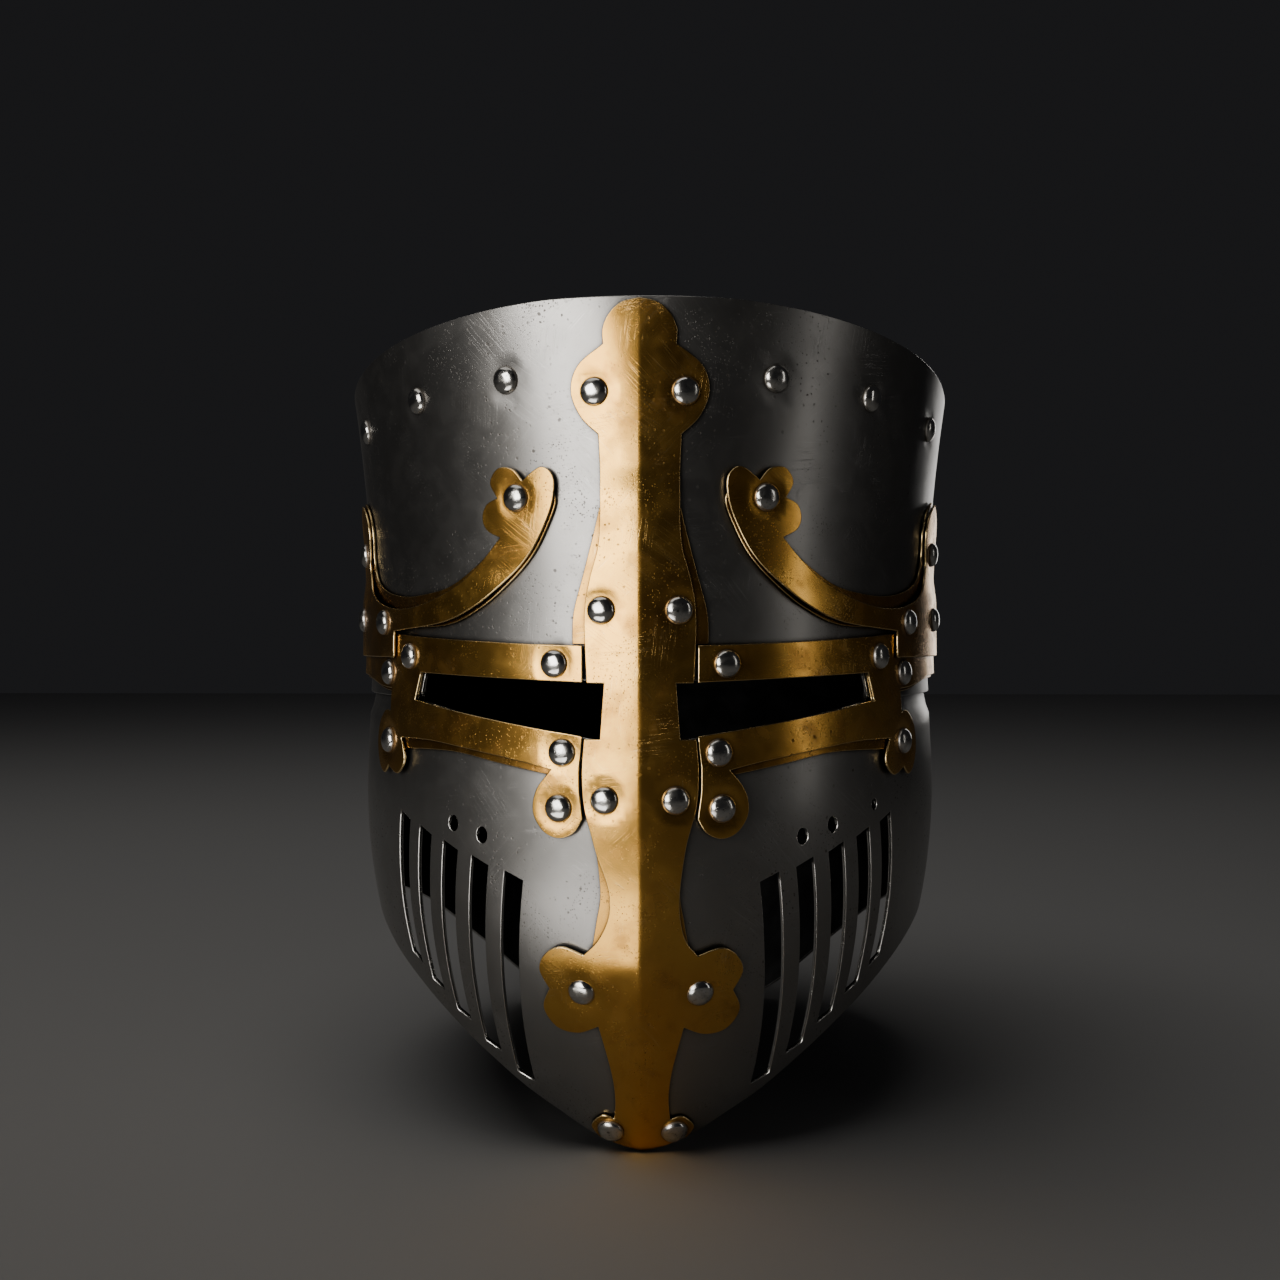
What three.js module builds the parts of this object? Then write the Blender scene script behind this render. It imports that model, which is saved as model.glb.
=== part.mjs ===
// Great helm of riveted steel plates with a brass cross, in millimetres, +Z up.
// The face looks along -Y. The helm stands on its front point and on its back lower edge.
import * as THREE from 'three';

// Driving dimensions of the shell
const helmHeight = 295;
const halfWidth = 118;
const frontReach = 145;
const backReach = 145;
const keelPinch = 15;
const steelThickness = 1.6;
const brassThickness = 1.0;
const sheetGap = 0.3;

// Rim and crown plate
const rimFall = 0.133;
const crownInset = 1.2;
const crownFlange = 34;
const crownCorner = 3;
const crownClearance = 1;

// Height of the sights' middle at the nose, from which the plates' seam and the cross's arms are set
const sightLevel = 158.3;
const seamRise = 2.7;
const seamClearance = 0.4;
const tuckHeight = 9;
const tuckMargin = 2;
const lapHeight = 9;
const frontPlateEnd = 1.03;
const backPlateStart = 0.95;
const lapEnd = 0.94;

// Grid that every sheet is folded along: columns for a quarter of the way round, and rows
const columnsPerQuarter = 10;
const quarterSpan = 200;
const lowerRowCount = 8;
const upperRowCount = 4;

// Sights: the slits between the upper and lower plates, from the nose outward
const slitInner = 12.4;
const slitOuter = 92.9;
const slitEndSlant = 1.9;
const slitInnerOpening = 18.6;
const slitOuterOpening = 10.2;
const slitRise = 6.9;
const slitMargin = 0.6;
const noseHalf = 10;

// Breaths: five slots on each side, and round holes above them
const slotCount = 5;
const slotFirst = 48.8;
const slotPitch = 14.7;
const slotWidth = 7.6;
const slotHeadDrop = 57;
const slotHeadRise = 4;
const slotFootMargin = 5.6;
const slotEndSlant = 1.5;
const slotLeanHead = 2.6;
const slotLeanFoot = 4.2;
const holeWidth = 4.8;
const holeHeight = 5.8;
const breathHoles = [
  { pitches: 0.75, rise: 13, share: 1, sides: [-1, 1] },
  { pitches: 1.7, rise: 16, share: 1, sides: [-1, 1] },
  { pitches: 3.3, rise: 21.2, share: 0.7, sides: [1] },
];

// Brass cross: the bar down the keel, the frames round the sights and the horned ends of the arms
const barReach = 35;
const barAtSlit = 18.5;
const waistNarrowing = 3;
const waistNear = 2;
const waistFar = 20;
const notchSlant = 0.7;
const neckStep = 0.9;
const armReach = 115;
const armDepth = 27;
const armInset = 0.5;
const backingMargin = 0.7;
const backingInset = 5.5;
const hornAxis = 157;
const hornReach = 128;
const hornShare = 0.483;
const stemRise = 17.2;
const stemStraight = 11.5;

// Rivets
const rivetRadius = 4.8;
const rivetHeight = 2.6;
const rivetSides = 8;
const rivetGap = 0.6;
const crownRivetDrop = 24;
const crownRivetRise = 5;

// Sections of the shell, as shares of its height, of the waist's half width, of the two reaches
// and of the keel's pinch
const sections = [
  { height: 0.0, width: 0.780, front: 0.766, back: 0.840, keel: 1.0 },
  { height: 0.1, width: 0.873, front: 0.874, back: 0.917, keel: 1.0 },
  { height: 0.2, width: 0.947, front: 0.950, back: 0.966, keel: 1.0 },
  { height: 0.3, width: 0.998, front: 0.990, back: 0.993, keel: 1.0 },
  { height: 0.4, width: 1.019, front: 1.003, back: 1.000, keel: 1.0 },
  { height: 0.5, width: 1.010, front: 1.001, back: 1.000, keel: 1.0 },
  { height: 0.6, width: 1.000, front: 1.000, back: 1.000, keel: 1.0 },
  { height: 0.7, width: 1.000, front: 1.003, back: 1.000, keel: 1.0 },
  { height: 0.8, width: 1.017, front: 1.009, back: 1.007, keel: 0.95 },
  { height: 0.9, width: 1.044, front: 1.019, back: 1.014, keel: 0.62 },
  { height: 1.0, width: 1.079, front: 1.033, back: 1.026, keel: 0.1 },
];

// Lower edge of the walls: quarter turns round from the ridge, and height as a share of the helm's
const lowerEdge = [
  { round: 0.00, height: 0.000 },
  { round: 0.06, height: 0.008 },
  { round: 0.12, height: 0.021 },
  { round: 0.19, height: 0.046 },
  { round: 0.27, height: 0.073 },
  { round: 0.35, height: 0.105 },
  { round: 0.49, height: 0.159 },
  { round: 0.63, height: 0.205 },
  { round: 0.80, height: 0.245 },
  { round: 1.00, height: 0.250 },
  { round: 1.20, height: 0.205 },
  { round: 1.40, height: 0.110 },
  { round: 1.55, height: 0.030 },
  { round: 1.66, height: 0.000 },
  { round: 2.00, height: 0.000 },
];

// Half outlines of the bar, foot to sights and sights to head. Across is a share of barReach. Up runs
// from 0 at the floor to 1 at the sights' level and 2 at the rim. The line turns sharply at a corner.
const barFoot = [
  { across: 0.000, up: 0.008, corner: true },
  { across: 0.271, up: 0.021 },
  { across: 0.446, up: 0.035, corner: true },
  { across: 0.526, up: 0.066 },
  { across: 0.406, up: 0.096 },
  { across: 0.280, up: 0.090, corner: true },
  { across: 0.266, up: 0.152 },
  { across: 0.306, up: 0.221 },
  { across: 0.417, up: 0.320, corner: true },
  { across: 0.629, up: 0.301 },
  { across: 0.857, up: 0.311 },
  { across: 0.994, up: 0.354 },
  { across: 0.914, up: 0.401, corner: true },
  { across: 1.009, up: 0.445 },
  { across: 0.929, up: 0.483 },
  { across: 0.771, up: 0.499 },
  { across: 0.543, up: 0.485, corner: true },
  { across: 0.417, up: 0.524 },
  { across: 0.366, up: 0.600 },
  { across: 0.426, up: 0.711 },
  { across: 0.526, up: 0.796 },
  { across: 0.551, up: 0.872 },
];
const barHead = [
  { across: 0.526, up: 1.232 },
  { across: 0.474, up: 1.320 },
  { across: 0.386, up: 1.407 },
  { across: 0.371, up: 1.525 },
  { across: 0.394, up: 1.672, corner: true },
  { across: 0.566, up: 1.715 },
  { across: 0.663, up: 1.777 },
  { across: 0.591, up: 1.839 },
  { across: 0.346, up: 1.887, corner: true },
  { across: 0.349, up: 1.923 },
  { across: 0.286, up: 1.959 },
  { across: 0.166, up: 1.985 },
  { across: 0.000, up: 1.994, corner: true },
];
// Half outlines of the layer under the bar, in the same shares
const backingFoot = [
  { across: 0.000, up: 0.474, corner: true },
  { across: 0.471, up: 0.490, corner: true },
  { across: 0.420, up: 0.556 },
  { across: 0.380, up: 0.619 },
  { across: 0.429, up: 0.720 },
  { across: 0.486, up: 0.783, corner: true },
];
const backingHead = [
  { across: 0.486, up: 1.162, corner: true },
  { across: 0.657, up: 1.163, corner: true },
  { across: 0.646, up: 1.239 },
  { across: 0.549, up: 1.331 },
  { across: 0.446, up: 1.429 },
  { across: 0.386, up: 1.495, corner: true },
  { across: 0.000, up: 1.495, corner: true },
];
// Front half of an arm's horned end: shares of hornReach forward from its middle, and of its height
// above the stem's lower edge
const hornEdge = [
  { across: 0.000, up: 0.000, corner: true },
  { across: 0.371, up: 0.000, corner: true },
  { across: 0.371, up: 0.148, corner: true },
  { across: 0.617, up: 0.189 },
  { across: 0.750, up: 0.273 },
  { across: 0.852, up: 0.402 },
  { across: 0.926, up: 0.538 },
  { across: 0.973, up: 0.689 },
  { across: 0.997, up: 0.818 },
  { across: 0.997, up: 0.932 },
  { across: 0.961, up: 0.982 },
  { across: 0.906, up: 0.917, corner: true },
  { across: 0.877, up: 0.979 },
  { across: 0.830, up: 0.988 },
  { across: 0.804, up: 0.917 },
  { across: 0.826, up: 0.836, corner: true },
  { across: 0.789, up: 0.803 },
  { across: 0.776, up: 0.735 },
  { across: 0.791, up: 0.671 },
  { across: 0.834, up: 0.629, corner: true },
  { across: 0.773, up: 0.515 },
  { across: 0.688, up: 0.394 },
  { across: 0.562, up: 0.306 },
  { across: 0.422, up: 0.273 },
  { across: 0.273, up: 0.303 },
  { across: 0.152, up: 0.391 },
  { across: 0.094, up: 0.523 },
  { across: 0.103, up: 0.652 },
  { across: 0.102, up: 0.758 },
  { across: 0.062, up: 0.856 },
  { across: 0.000, up: 0.917, corner: true },
];
// Front half of the layer under it, in the same shares
const hornBackingEdge = [
  { across: 0.000, up: 0.170, corner: true },
  { across: 0.375, up: 0.170, corner: true },
  { across: 0.617, up: 0.177 },
  { across: 0.752, up: 0.262 },
  { across: 0.855, up: 0.392 },
  { across: 0.930, up: 0.530 },
  { across: 0.978, up: 0.685 },
  { across: 1.001, up: 0.818 },
  { across: 0.969, up: 0.909, corner: true },
  { across: 0.859, up: 0.879, corner: true },
  { across: 0.812, up: 0.712, corner: true },
  { across: 0.828, up: 0.614, corner: true },
  { across: 0.742, up: 0.488 },
  { across: 0.648, up: 0.394 },
  { across: 0.547, up: 0.355 },
  { across: 0.406, up: 0.342 },
  { across: 0.258, up: 0.382 },
  { across: 0.156, up: 0.455 },
  { across: 0.113, up: 0.576 },
  { across: 0.111, up: 0.742 },
  { across: 0.067, up: 0.870 },
  { across: 0.000, up: 0.930, corner: true },
];
// Outer line of a sight frame, from its upper inner corner round the arm, the lower lobes and the tab
// by the nose: shares of armReach outward, and of armDepth above the sights' level
const frameEdge = [
  { across: 0.166, up: 0.811, corner: true },
  { across: 0.400, up: 0.841 },
  { across: 0.800, up: 0.922 },
  { across: 0.948, up: 0.959 },
  { across: 1.304, up: 0.959 },
  { across: 1.722, up: 0.959, corner: true },
  { across: 1.743, up: 0.656 },
  { across: 1.722, up: 0.359, corner: true },
  { across: 1.304, up: 0.352 },
  { across: 1.087, up: 0.233 },
  { across: 0.991, up: 0.204, corner: true },
  { across: 0.997, up: -0.115, corner: true },
  { across: 1.042, up: -0.107 },
  { across: 1.096, up: -0.300 },
  { across: 1.111, up: -0.585 },
  { across: 1.083, up: -0.863 },
  { across: 1.038, up: -0.978 },
  { across: 1.002, up: -0.867, corner: true },
  { across: 0.930, up: -0.956 },
  { across: 0.882, up: -0.752 },
  { across: 0.909, up: -0.456, corner: true },
  { across: 0.730, up: -0.456 },
  { across: 0.557, up: -0.530 },
  { across: 0.374, up: -0.641 },
  { across: 0.263, up: -0.737, corner: true },
  { across: 0.310, up: -0.993 },
  { across: 0.320, up: -1.270 },
  { across: 0.287, up: -1.500 },
  { across: 0.237, up: -1.578 },
  { across: 0.191, up: -1.500 },
  { across: 0.164, up: -1.326, corner: true },
  { across: 0.174, up: -1.011 },
  { across: 0.175, up: -0.678 },
];
// The same line of the layer under it
const frameBackingEdge = [
  { across: 0.209, up: 0.774, corner: true },
  { across: 0.522, up: 0.833, corner: true },
  { across: 0.948, up: 0.922, corner: true },
  { across: 1.696, up: 0.922, corner: true },
  { across: 1.696, up: 0.307, corner: true },
  { across: 1.304, up: 0.307 },
  { across: 1.087, up: 0.189 },
  { across: 0.983, up: 0.159, corner: true },
  { across: 0.983, up: -0.215, corner: true },
  { across: 1.035, up: -0.204 },
  { across: 1.085, up: -0.456 },
  { across: 1.070, up: -0.733 },
  { across: 1.030, up: -0.844, corner: true },
  { across: 0.983, up: -0.774, corner: true },
  { across: 0.883, up: -0.596, corner: true },
  { across: 0.635, up: -0.578 },
  { across: 0.435, up: -0.696 },
  { across: 0.261, up: -0.811, corner: true },
  { across: 0.296, up: -1.011 },
  { across: 0.301, up: -1.252 },
  { across: 0.270, up: -1.448 },
  { across: 0.209, up: -1.448, corner: true },
];

const steelStep = steelThickness + sheetGap;
const brassStep = brassThickness + sheetGap;
const seamHeight = sightLevel + seamRise;
const stemBottom = sightLevel + stemRise;
const hornHeight = hornShare * (helmHeight - sightLevel);

// Smooth value of one column of a table at a place in another
function along(table, place, key, value) {
  const last = table.length - 1;
  let i = 0;
  while (i < last - 1 && value > table[i + 1][place]) {
    i += 1;
  }
  const slope = (j) => {
    const a = table[Math.max(j - 1, 0)];
    const b = table[Math.min(j + 1, last)];
    return (b[key] - a[key]) / (b[place] - a[place]);
  };
  const step = table[i + 1][place] - table[i][place];
  const t = (value - table[i][place]) / step;
  const ends = table[i][key] * (2 * t ** 3 - 3 * t ** 2 + 1) + table[i + 1][key] * (3 * t ** 2 - 2 * t ** 3);
  const bend = slope(i) * (t ** 3 - 2 * t ** 2 + t) + slope(i + 1) * (t ** 3 - t ** 2);
  return ends + bend * step;
}

// Straight change from 0 at one value to 1 at another
function ramp(value, from, to) {
  return THREE.MathUtils.clamp((value - from) / (to - from), 0, 1);
}

// Even steps from one value to another
function spread(from, to, count) {
  return Array.from({ length: count + 1 }, (_, i) => from + ((to - from) * i) / count);
}

// A point of the smooth shell, some quarter turns round from the ridge (+X side positive), at a height
function shellPoint(round, z) {
  const turn = round > 2 ? round - 4 : round;
  const side = turn < 0 ? -1 : 1;
  const away = Math.abs(turn);
  const width = halfWidth * along(sections, 'height', 'width', z / helmHeight);
  if (away > 1) {
    const back = backReach * along(sections, 'height', 'back', z / helmHeight);
    const angle = ((away - 1) * Math.PI) / 2;
    return new THREE.Vector3(side * width * Math.cos(angle), back * Math.sin(angle), z);
  }
  const front = frontReach * along(sections, 'height', 'front', z / helmHeight);
  const keel = keelPinch * along(sections, 'height', 'keel', z / helmHeight);
  const start = Math.asin(keel / (width + keel));
  const angle = start + (Math.PI / 2 - start) * away;
  const x = (width + keel) * Math.sin(angle) - keel;
  return new THREE.Vector3(side * x, (-front * Math.cos(angle)) / Math.cos(start), z);
}

// Outward direction of the shell, taken between neighbouring points
function shellNormal(round, z) {
  const aside = 0.02;
  const above = 2;
  const across = shellPoint(round + aside, z).sub(shellPoint(round - aside, z));
  const upward = shellPoint(round, z + above).sub(shellPoint(round, z - above));
  return across.cross(upward).normalize();
}

// Quarter turns that a length along the wall, level from the ridge, reaches at a height
function roundAt(length, z) {
  const steps = 120;
  const side = length < 0 ? -1 : 1;
  let run = 0;
  let previous = shellPoint(0, z);
  for (let i = 1; i <= steps; i += 1) {
    const next = shellPoint((2 * i) / steps, z);
    const step = next.distanceTo(previous);
    if (run + step >= Math.abs(length)) {
      return (side * 2 * (i - 1 + (Math.abs(length) - run) / step)) / steps;
    }
    run += step;
    previous = next;
  }
  return side * 2;
}

// Sizes on the pattern are kept to a hundredth, so that no corner lies nearly on a grid line
function toGrain(size) {
  return Math.round(size * 100) / 100;
}

// Rows of the grid: even ones up to the lapped seam, the seam's own, and even ones to the rim
const tuckEnd = seamHeight - tuckMargin;
const tuckStart = tuckEnd - tuckHeight;
const stemRow = stemBottom + stemStraight;
const lowerRows = spread(0, tuckStart, lowerRowCount);
const upperRows = spread(stemRow, helmHeight, upperRowCount);
const rows = [...lowerRows, tuckEnd, (tuckEnd + stemRow) / 2, ...upperRows].map(toGrain);

// The folded shell: points between four grid corners, moved out by an offset
const cornerCache = new Map();
function gridCorner(column, row) {
  const key = `${column} ${row}`;
  if (!cornerCache.has(key)) {
    const round = column / columnsPerQuarter;
    cornerCache.set(key, { point: shellPoint(round, rows[row]), normal: shellNormal(round, rows[row]) });
  }
  return cornerCache.get(key);
}

function foldedPoint(round, z, offset) {
  const column = Math.floor(round * columnsPerQuarter + 1e-9);
  let row = 0;
  while (row < rows.length - 2 && z >= rows[row + 1]) {
    row += 1;
  }
  const a = round * columnsPerQuarter - column;
  const b = (z - rows[row]) / (rows[row + 1] - rows[row]);
  const result = new THREE.Vector3();
  for (const [i, j, weight] of [[0, 0, (1 - a) * (1 - b)], [1, 0, a * (1 - b)], [0, 1, (1 - a) * b], [1, 1, a * b]]) {
    const corner = gridCorner(column + i, row + j);
    result.addScaledVector(corner.point, weight);
    result.addScaledVector(corner.normal, weight * offset);
  }
  return result;
}

// Flat patterns are drawn with x as quarter turns times quarterSpan and y as height, to the same grain
function flat(round, z) {
  return new THREE.Vector2(toGrain(round * quarterSpan), toGrain(z));
}

function flatFromLength(length, z) {
  return flat(roundAt(length, z), z);
}

function doubleArea(ring) {
  return ring.reduce((sum, p, i) => {
    const q = ring[(i + 1) % ring.length];
    return sum + p.x * q.y - q.x * p.y;
  }, 0);
}

function turned(ring, counterclockwise) {
  return doubleArea(ring) > 0 === counterclockwise ? ring : [...ring].reverse();
}

// The part of some closed rings on one side of a grid line
function trimRings(rings, axis, value, keepAbove) {
  const other = axis === 'x' ? 'y' : 'x';
  const inside = (p) => (keepAbove ? p[axis] >= value : p[axis] < value);
  const kept = [];
  const chains = [];
  for (const ring of rings) {
    const start = ring.findIndex((p) => !inside(p));
    if (start < 0) {
      kept.push(ring);
      continue;
    }
    let chain = null;
    for (let k = 0; k < ring.length; k += 1) {
      const from = ring[(start + k) % ring.length];
      const to = ring[(start + k + 1) % ring.length];
      if (inside(from) !== inside(to)) {
        const cut = from.clone().lerp(to, (value - from[axis]) / (to[axis] - from[axis]));
        cut[axis] = value;
        chain = chain ?? [];
        chain.push(cut);
      }
      if (inside(to)) {
        chain.push(to);
      } else if (chain) {
        chains.push(chain);
        chain = null;
      }
    }
  }
  const real = chains.filter((chain) => chain.some((p) => p.distanceTo(chain[0]) > 1e-7));
  const ends = real.flatMap((chain, i) => [
    { chain: i, first: true, place: chain[0][other] },
    { chain: i, first: false, place: chain[chain.length - 1][other] },
  ]);
  ends.sort((a, b) => a.place - b.place);
  const nextChain = new Map();
  for (let i = 0; i < ends.length; i += 2) {
    const [leave, enter] = ends[i].first ? [ends[i + 1], ends[i]] : [ends[i], ends[i + 1]];
    nextChain.set(leave.chain, enter.chain);
  }
  const used = new Set();
  real.forEach((_, first) => {
    const ring = [];
    let i = first;
    while (!used.has(i)) {
      used.add(i);
      ring.push(...real[i]);
      i = nextChain.get(i);
    }
    const clean = ring.filter((p, k) => p.distanceTo(ring[(k + 1) % ring.length]) > 1e-7);
    if (clean.length > 2 && Math.abs(doubleArea(clean)) > 1e-6) {
      kept.push(clean);
    }
  });
  return kept;
}

// Rings cut into strips by a list of grid lines
function cutByLines(rings, axis, lines) {
  const strips = [];
  let rest = rings;
  for (const value of lines) {
    strips.push(trimRings(rest, axis, value, false));
    rest = trimRings(rest, axis, value, true);
  }
  strips.push(rest);
  return strips.filter((strip) => strip.length > 0);
}

// A sheet of one thickness over the folded shell, from flat rings: its outline, then its holes
function sheet(name, material, outline, holes, thickness, offsetAt) {
  const rings = [turned(outline, true), ...holes.map((hole) => turned(hole, false))];
  const xs = outline.map((p) => p.x);
  const columnWidth = quarterSpan / columnsPerQuarter;
  const firstColumn = Math.ceil(Math.min(...xs) / columnWidth);
  const lastColumn = Math.floor(Math.max(...xs) / columnWidth);
  const columnLines = Array.from({ length: lastColumn - firstColumn + 1 }, (_, i) => (firstColumn + i) * columnWidth);
  const places = [];
  const index = new Map();
  const faces = [];
  const vertex = (p) => {
    const key = `${p.x.toFixed(5)} ${p.y.toFixed(5)}`;
    if (!index.has(key)) {
      index.set(key, places.length);
      places.push(p);
    }
    return index.get(key);
  };
  for (const strip of cutByLines(rings, 'x', columnLines)) {
    for (const cell of cutByLines(strip, 'y', rows)) {
      const cellHoles = cell.filter((ring) => doubleArea(ring) < 0);
      for (const ring of cell.filter((candidate) => doubleArea(candidate) > 0)) {
        const inner = cellHoles.filter((hole) => contains(ring, hole[0]));
        const points = [...ring, ...inner.flat()];
        const corners = THREE.ShapeUtils.triangulateShape([...ring], inner.map((hole) => [...hole]));
        const area = corners.reduce((sum, face) => sum + doubleArea(face.map((i) => points[i])), 0);
        for (const face of corners) {
          const ordered = area > 0 ? face : [...face].reverse();
          faces.push(ordered.map((i) => vertex(points[i])));
        }
      }
    }
  }
  const count = places.length;
  const positions = [];
  for (const side of [thickness, 0]) {
    for (const p of places) {
      const round = p.x / quarterSpan;
      positions.push(...foldedPoint(round, p.y, offsetAt(Math.abs(round), p.y) + side));
    }
  }
  const edges = new Set(faces.flatMap(([i, j, k]) => [`${i} ${j}`, `${j} ${k}`, `${k} ${i}`]));
  const triangles = faces.flatMap(([i, j, k]) => [i, j, k, count + k, count + j, count + i]);
  for (const edge of edges) {
    const [i, j] = edge.split(' ').map(Number);
    if (!edges.has(`${j} ${i}`)) {
      triangles.push(j, i, count + i, j, count + i, count + j);
    }
  }
  return solid(name, material, positions, triangles);
}

function contains(ring, p) {
  let within = false;
  ring.forEach((a, i) => {
    const b = ring[(i + 1) % ring.length];
    if (a.y > p.y !== b.y > p.y && p.x < ((b.x - a.x) * (p.y - a.y)) / (b.y - a.y) + a.x) {
      within = !within;
    }
  });
  return within;
}

function solid(name, material, positions, triangles) {
  const geometry = new THREE.BufferGeometry();
  geometry.setAttribute('position', new THREE.Float32BufferAttribute(positions, 3));
  geometry.setIndex(triangles);
  geometry.computeVertexNormals();
  const mesh = new THREE.Mesh(geometry, material);
  mesh.name = name;
  return mesh;
}

// Points of an outline, smooth between its corners, from rows of sizes in millimetres
function smoothLine(points) {
  const line = [];
  let stretch = [];
  points.forEach((point, i) => {
    stretch.push(new THREE.Vector2(point.length, point.z));
    const last = i === points.length - 1;
    if (stretch.length > 1 && (point.corner || last)) {
      const count = stretch.length === 2 ? 1 : (stretch.length - 1) * 2;
      const curve = new THREE.SplineCurve(stretch);
      line.push(...curve.getPoints(count).slice(line.length > 0 ? 1 : 0));
      stretch = [stretch[stretch.length - 1]];
    }
  });
  return line;
}

// Sights: heights of the slit's two edges at a length out from the ridge
function slitMiddle(length) {
  return sightLevel + slitRise * ramp(length, slitInner, slitOuter);
}

function slitOpening(length) {
  return THREE.MathUtils.lerp(slitInnerOpening, slitOuterOpening, ramp(length, slitInner, slitOuter));
}

// Both edges of a slit from the nose outward, set back from the slit by a margin
function slitEdge(inner, margin, top) {
  const outer = slitOuter + margin + (top ? -slitEndSlant : slitEndSlant);
  const side = top ? 1 : -1;
  return spread(inner, outer, 5).map((length) => ({
    length,
    z: slitMiddle(length) + side * (slitOpening(length) / 2 + margin),
  }));
}

const steel = new THREE.MeshStandardMaterial({ color: 0x5d5a56, metalness: 1, roughness: 0.34 });
const brass = new THREE.MeshStandardMaterial({ color: 0xc79a45, metalness: 1, roughness: 0.3 });
const rivetSteel = new THREE.MeshStandardMaterial({ color: 0xa9a69f, metalness: 1, roughness: 0.2 });

const helm = new THREE.Group();

// Plane of the rim, which falls to the back
function rimHeight(y) {
  return helmHeight - rimFall * (y + frontReach);
}

// Height of the rim some quarter turns round
function rimAt(round) {
  let z = helmHeight;
  for (let i = 0; i < 6; i += 1) {
    z = rimHeight(shellPoint(round, Math.min(z, helmHeight)).y);
  }
  return Math.min(z, helmHeight);
}

// Wall plates: how far a plate is tucked inside its neighbour at the seam and at the sides
function seamTuck(z) {
  return -steelStep * ramp(z, tuckStart, tuckEnd);
}

function sideTuck(round) {
  const column = 1 / columnsPerQuarter;
  const away = round > 2 ? 4 - round : round;
  return -steelStep * (1 - ramp(away, 1 + column, 1 + 2 * column));
}

// A line of the pattern that follows a height given at each place round, with so many points to a column
function levelLine(from, to, heightAt, perColumn) {
  const fine = columnsPerQuarter * perColumn;
  const first = Math.floor(Math.min(from, to) * fine + 1.001);
  const last = Math.ceil(Math.max(from, to) * fine - 1.001);
  const between = spread(first, last, last - first).map((step) => step / fine);
  const places = from < to ? [from, ...between, to] : [from, ...between.reverse(), to];
  return places.map((round) => flat(round, heightAt(Math.min(Math.abs(round), 4 - Math.abs(round)))));
}

function lowerEdgeAt(round) {
  return helmHeight * Math.max(0, along(lowerEdge, 'round', 'height', round));
}

const plateOut = -steelThickness;

function browPlate() {
  const slitTop = slitEdge(noseHalf, slitMargin, true);
  const rightEdge = [
    ...slitTop.map((point) => flatFromLength(point.length, point.z)),
    flatFromLength(slitOuter + slitEndSlant, seamHeight),
    flat(frontPlateEnd, seamHeight),
  ];
  const leftEdge = rightEdge.map((p) => new THREE.Vector2(-p.x, p.y)).reverse();
  const nose = [flatFromLength(-noseHalf, sightLevel + sheetGap), flatFromLength(noseHalf, sightLevel + sheetGap)];
  const rim = levelLine(frontPlateEnd, -frontPlateEnd, rimAt, 1);
  return sheet('brow_plate', steel, [...leftEdge, ...nose, ...rightEdge, ...rim], [], steelThickness, () => plateOut);
}

// Breaths: one slot, leaning and slant-ended, and one round hole
function slotRing(number, side) {
  const middle = slotFirst + slotPitch * number;
  const head = sightLevel - slotHeadDrop + slotHeadRise * number;
  const foot = lowerEdgeAt(Math.abs(roundAt(middle - slotLeanFoot, slotFootMargin + lowerEdgeAt(0.3)))) + slotFootMargin;
  const line = spread(0, 1, 4).map((share) => {
    const bow = share < 0.5 ? slotLeanFoot * (1 - 2 * share) ** 2 : slotLeanHead * (2 * share - 1) ** 2;
    return { middle: middle - bow, z: foot + (head - foot) * share };
  });
  const edge = (sign) => line.map((p) => {
    return flatFromLength(side * (p.middle + (sign * slotWidth) / 2), p.z + sign * slotEndSlant);
  });
  return [...edge(1), ...edge(-1).reverse()];
}

function holeRing(length, z, share) {
  return spread(0, 2 * Math.PI, 7).slice(0, 7).map((angle) => {
    const across = length + (share * holeWidth * Math.cos(angle)) / 2;
    return flatFromLength(across, z + (share * holeHeight * Math.sin(angle)) / 2);
  });
}

function breaths() {
  const rings = [];
  for (const side of [-1, 1]) {
    for (let number = 0; number < slotCount; number += 1) {
      rings.push(slotRing(number, side));
    }
    for (const hole of breathHoles.filter((one) => one.sides.includes(side))) {
      const length = side * (slotFirst + hole.pitches * slotPitch);
      rings.push(holeRing(length, sightLevel - slotHeadDrop + hole.rise, hole.share));
    }
  }
  return rings;
}

function facePlate() {
  const slitBottom = slitEdge(noseHalf + slitMargin, slitMargin, false);
  const rightEdge = [
    ...slitBottom.map((point) => flatFromLength(point.length, point.z)),
    flatFromLength(slitOuter + 2 * slitEndSlant, seamHeight + lapHeight),
    flat(lapEnd, seamHeight + lapHeight),
    flat(lapEnd, seamHeight - seamClearance),
    flat(frontPlateEnd, seamHeight - seamClearance),
  ];
  const leftEdge = rightEdge.map((p) => new THREE.Vector2(-p.x, p.y)).reverse();
  const nose = [flatFromLength(-noseHalf, sightLevel - sheetGap), flatFromLength(noseHalf, sightLevel - sheetGap)];
  const foot = levelLine(frontPlateEnd, -frontPlateEnd, lowerEdgeAt, 2);
  const outline = [...leftEdge, ...nose, ...rightEdge, ...foot];
  return sheet('face_plate', steel, outline, breaths(), steelThickness, (_, z) => plateOut + seamTuck(z));
}

function backPlate(name, bottomAt, topAt, offsetAt, footPoints) {
  const foot = levelLine(backPlateStart, 4 - backPlateStart, bottomAt, footPoints);
  const head = levelLine(4 - backPlateStart, backPlateStart, topAt, 1);
  return sheet(name, steel, [...foot, ...head], [], steelThickness, offsetAt);
}

function backUpperPlate() {
  const offsetAt = (round) => plateOut + sideTuck(round);
  return backPlate('back_upper_plate', () => seamHeight, rimAt, offsetAt, 1);
}

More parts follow.
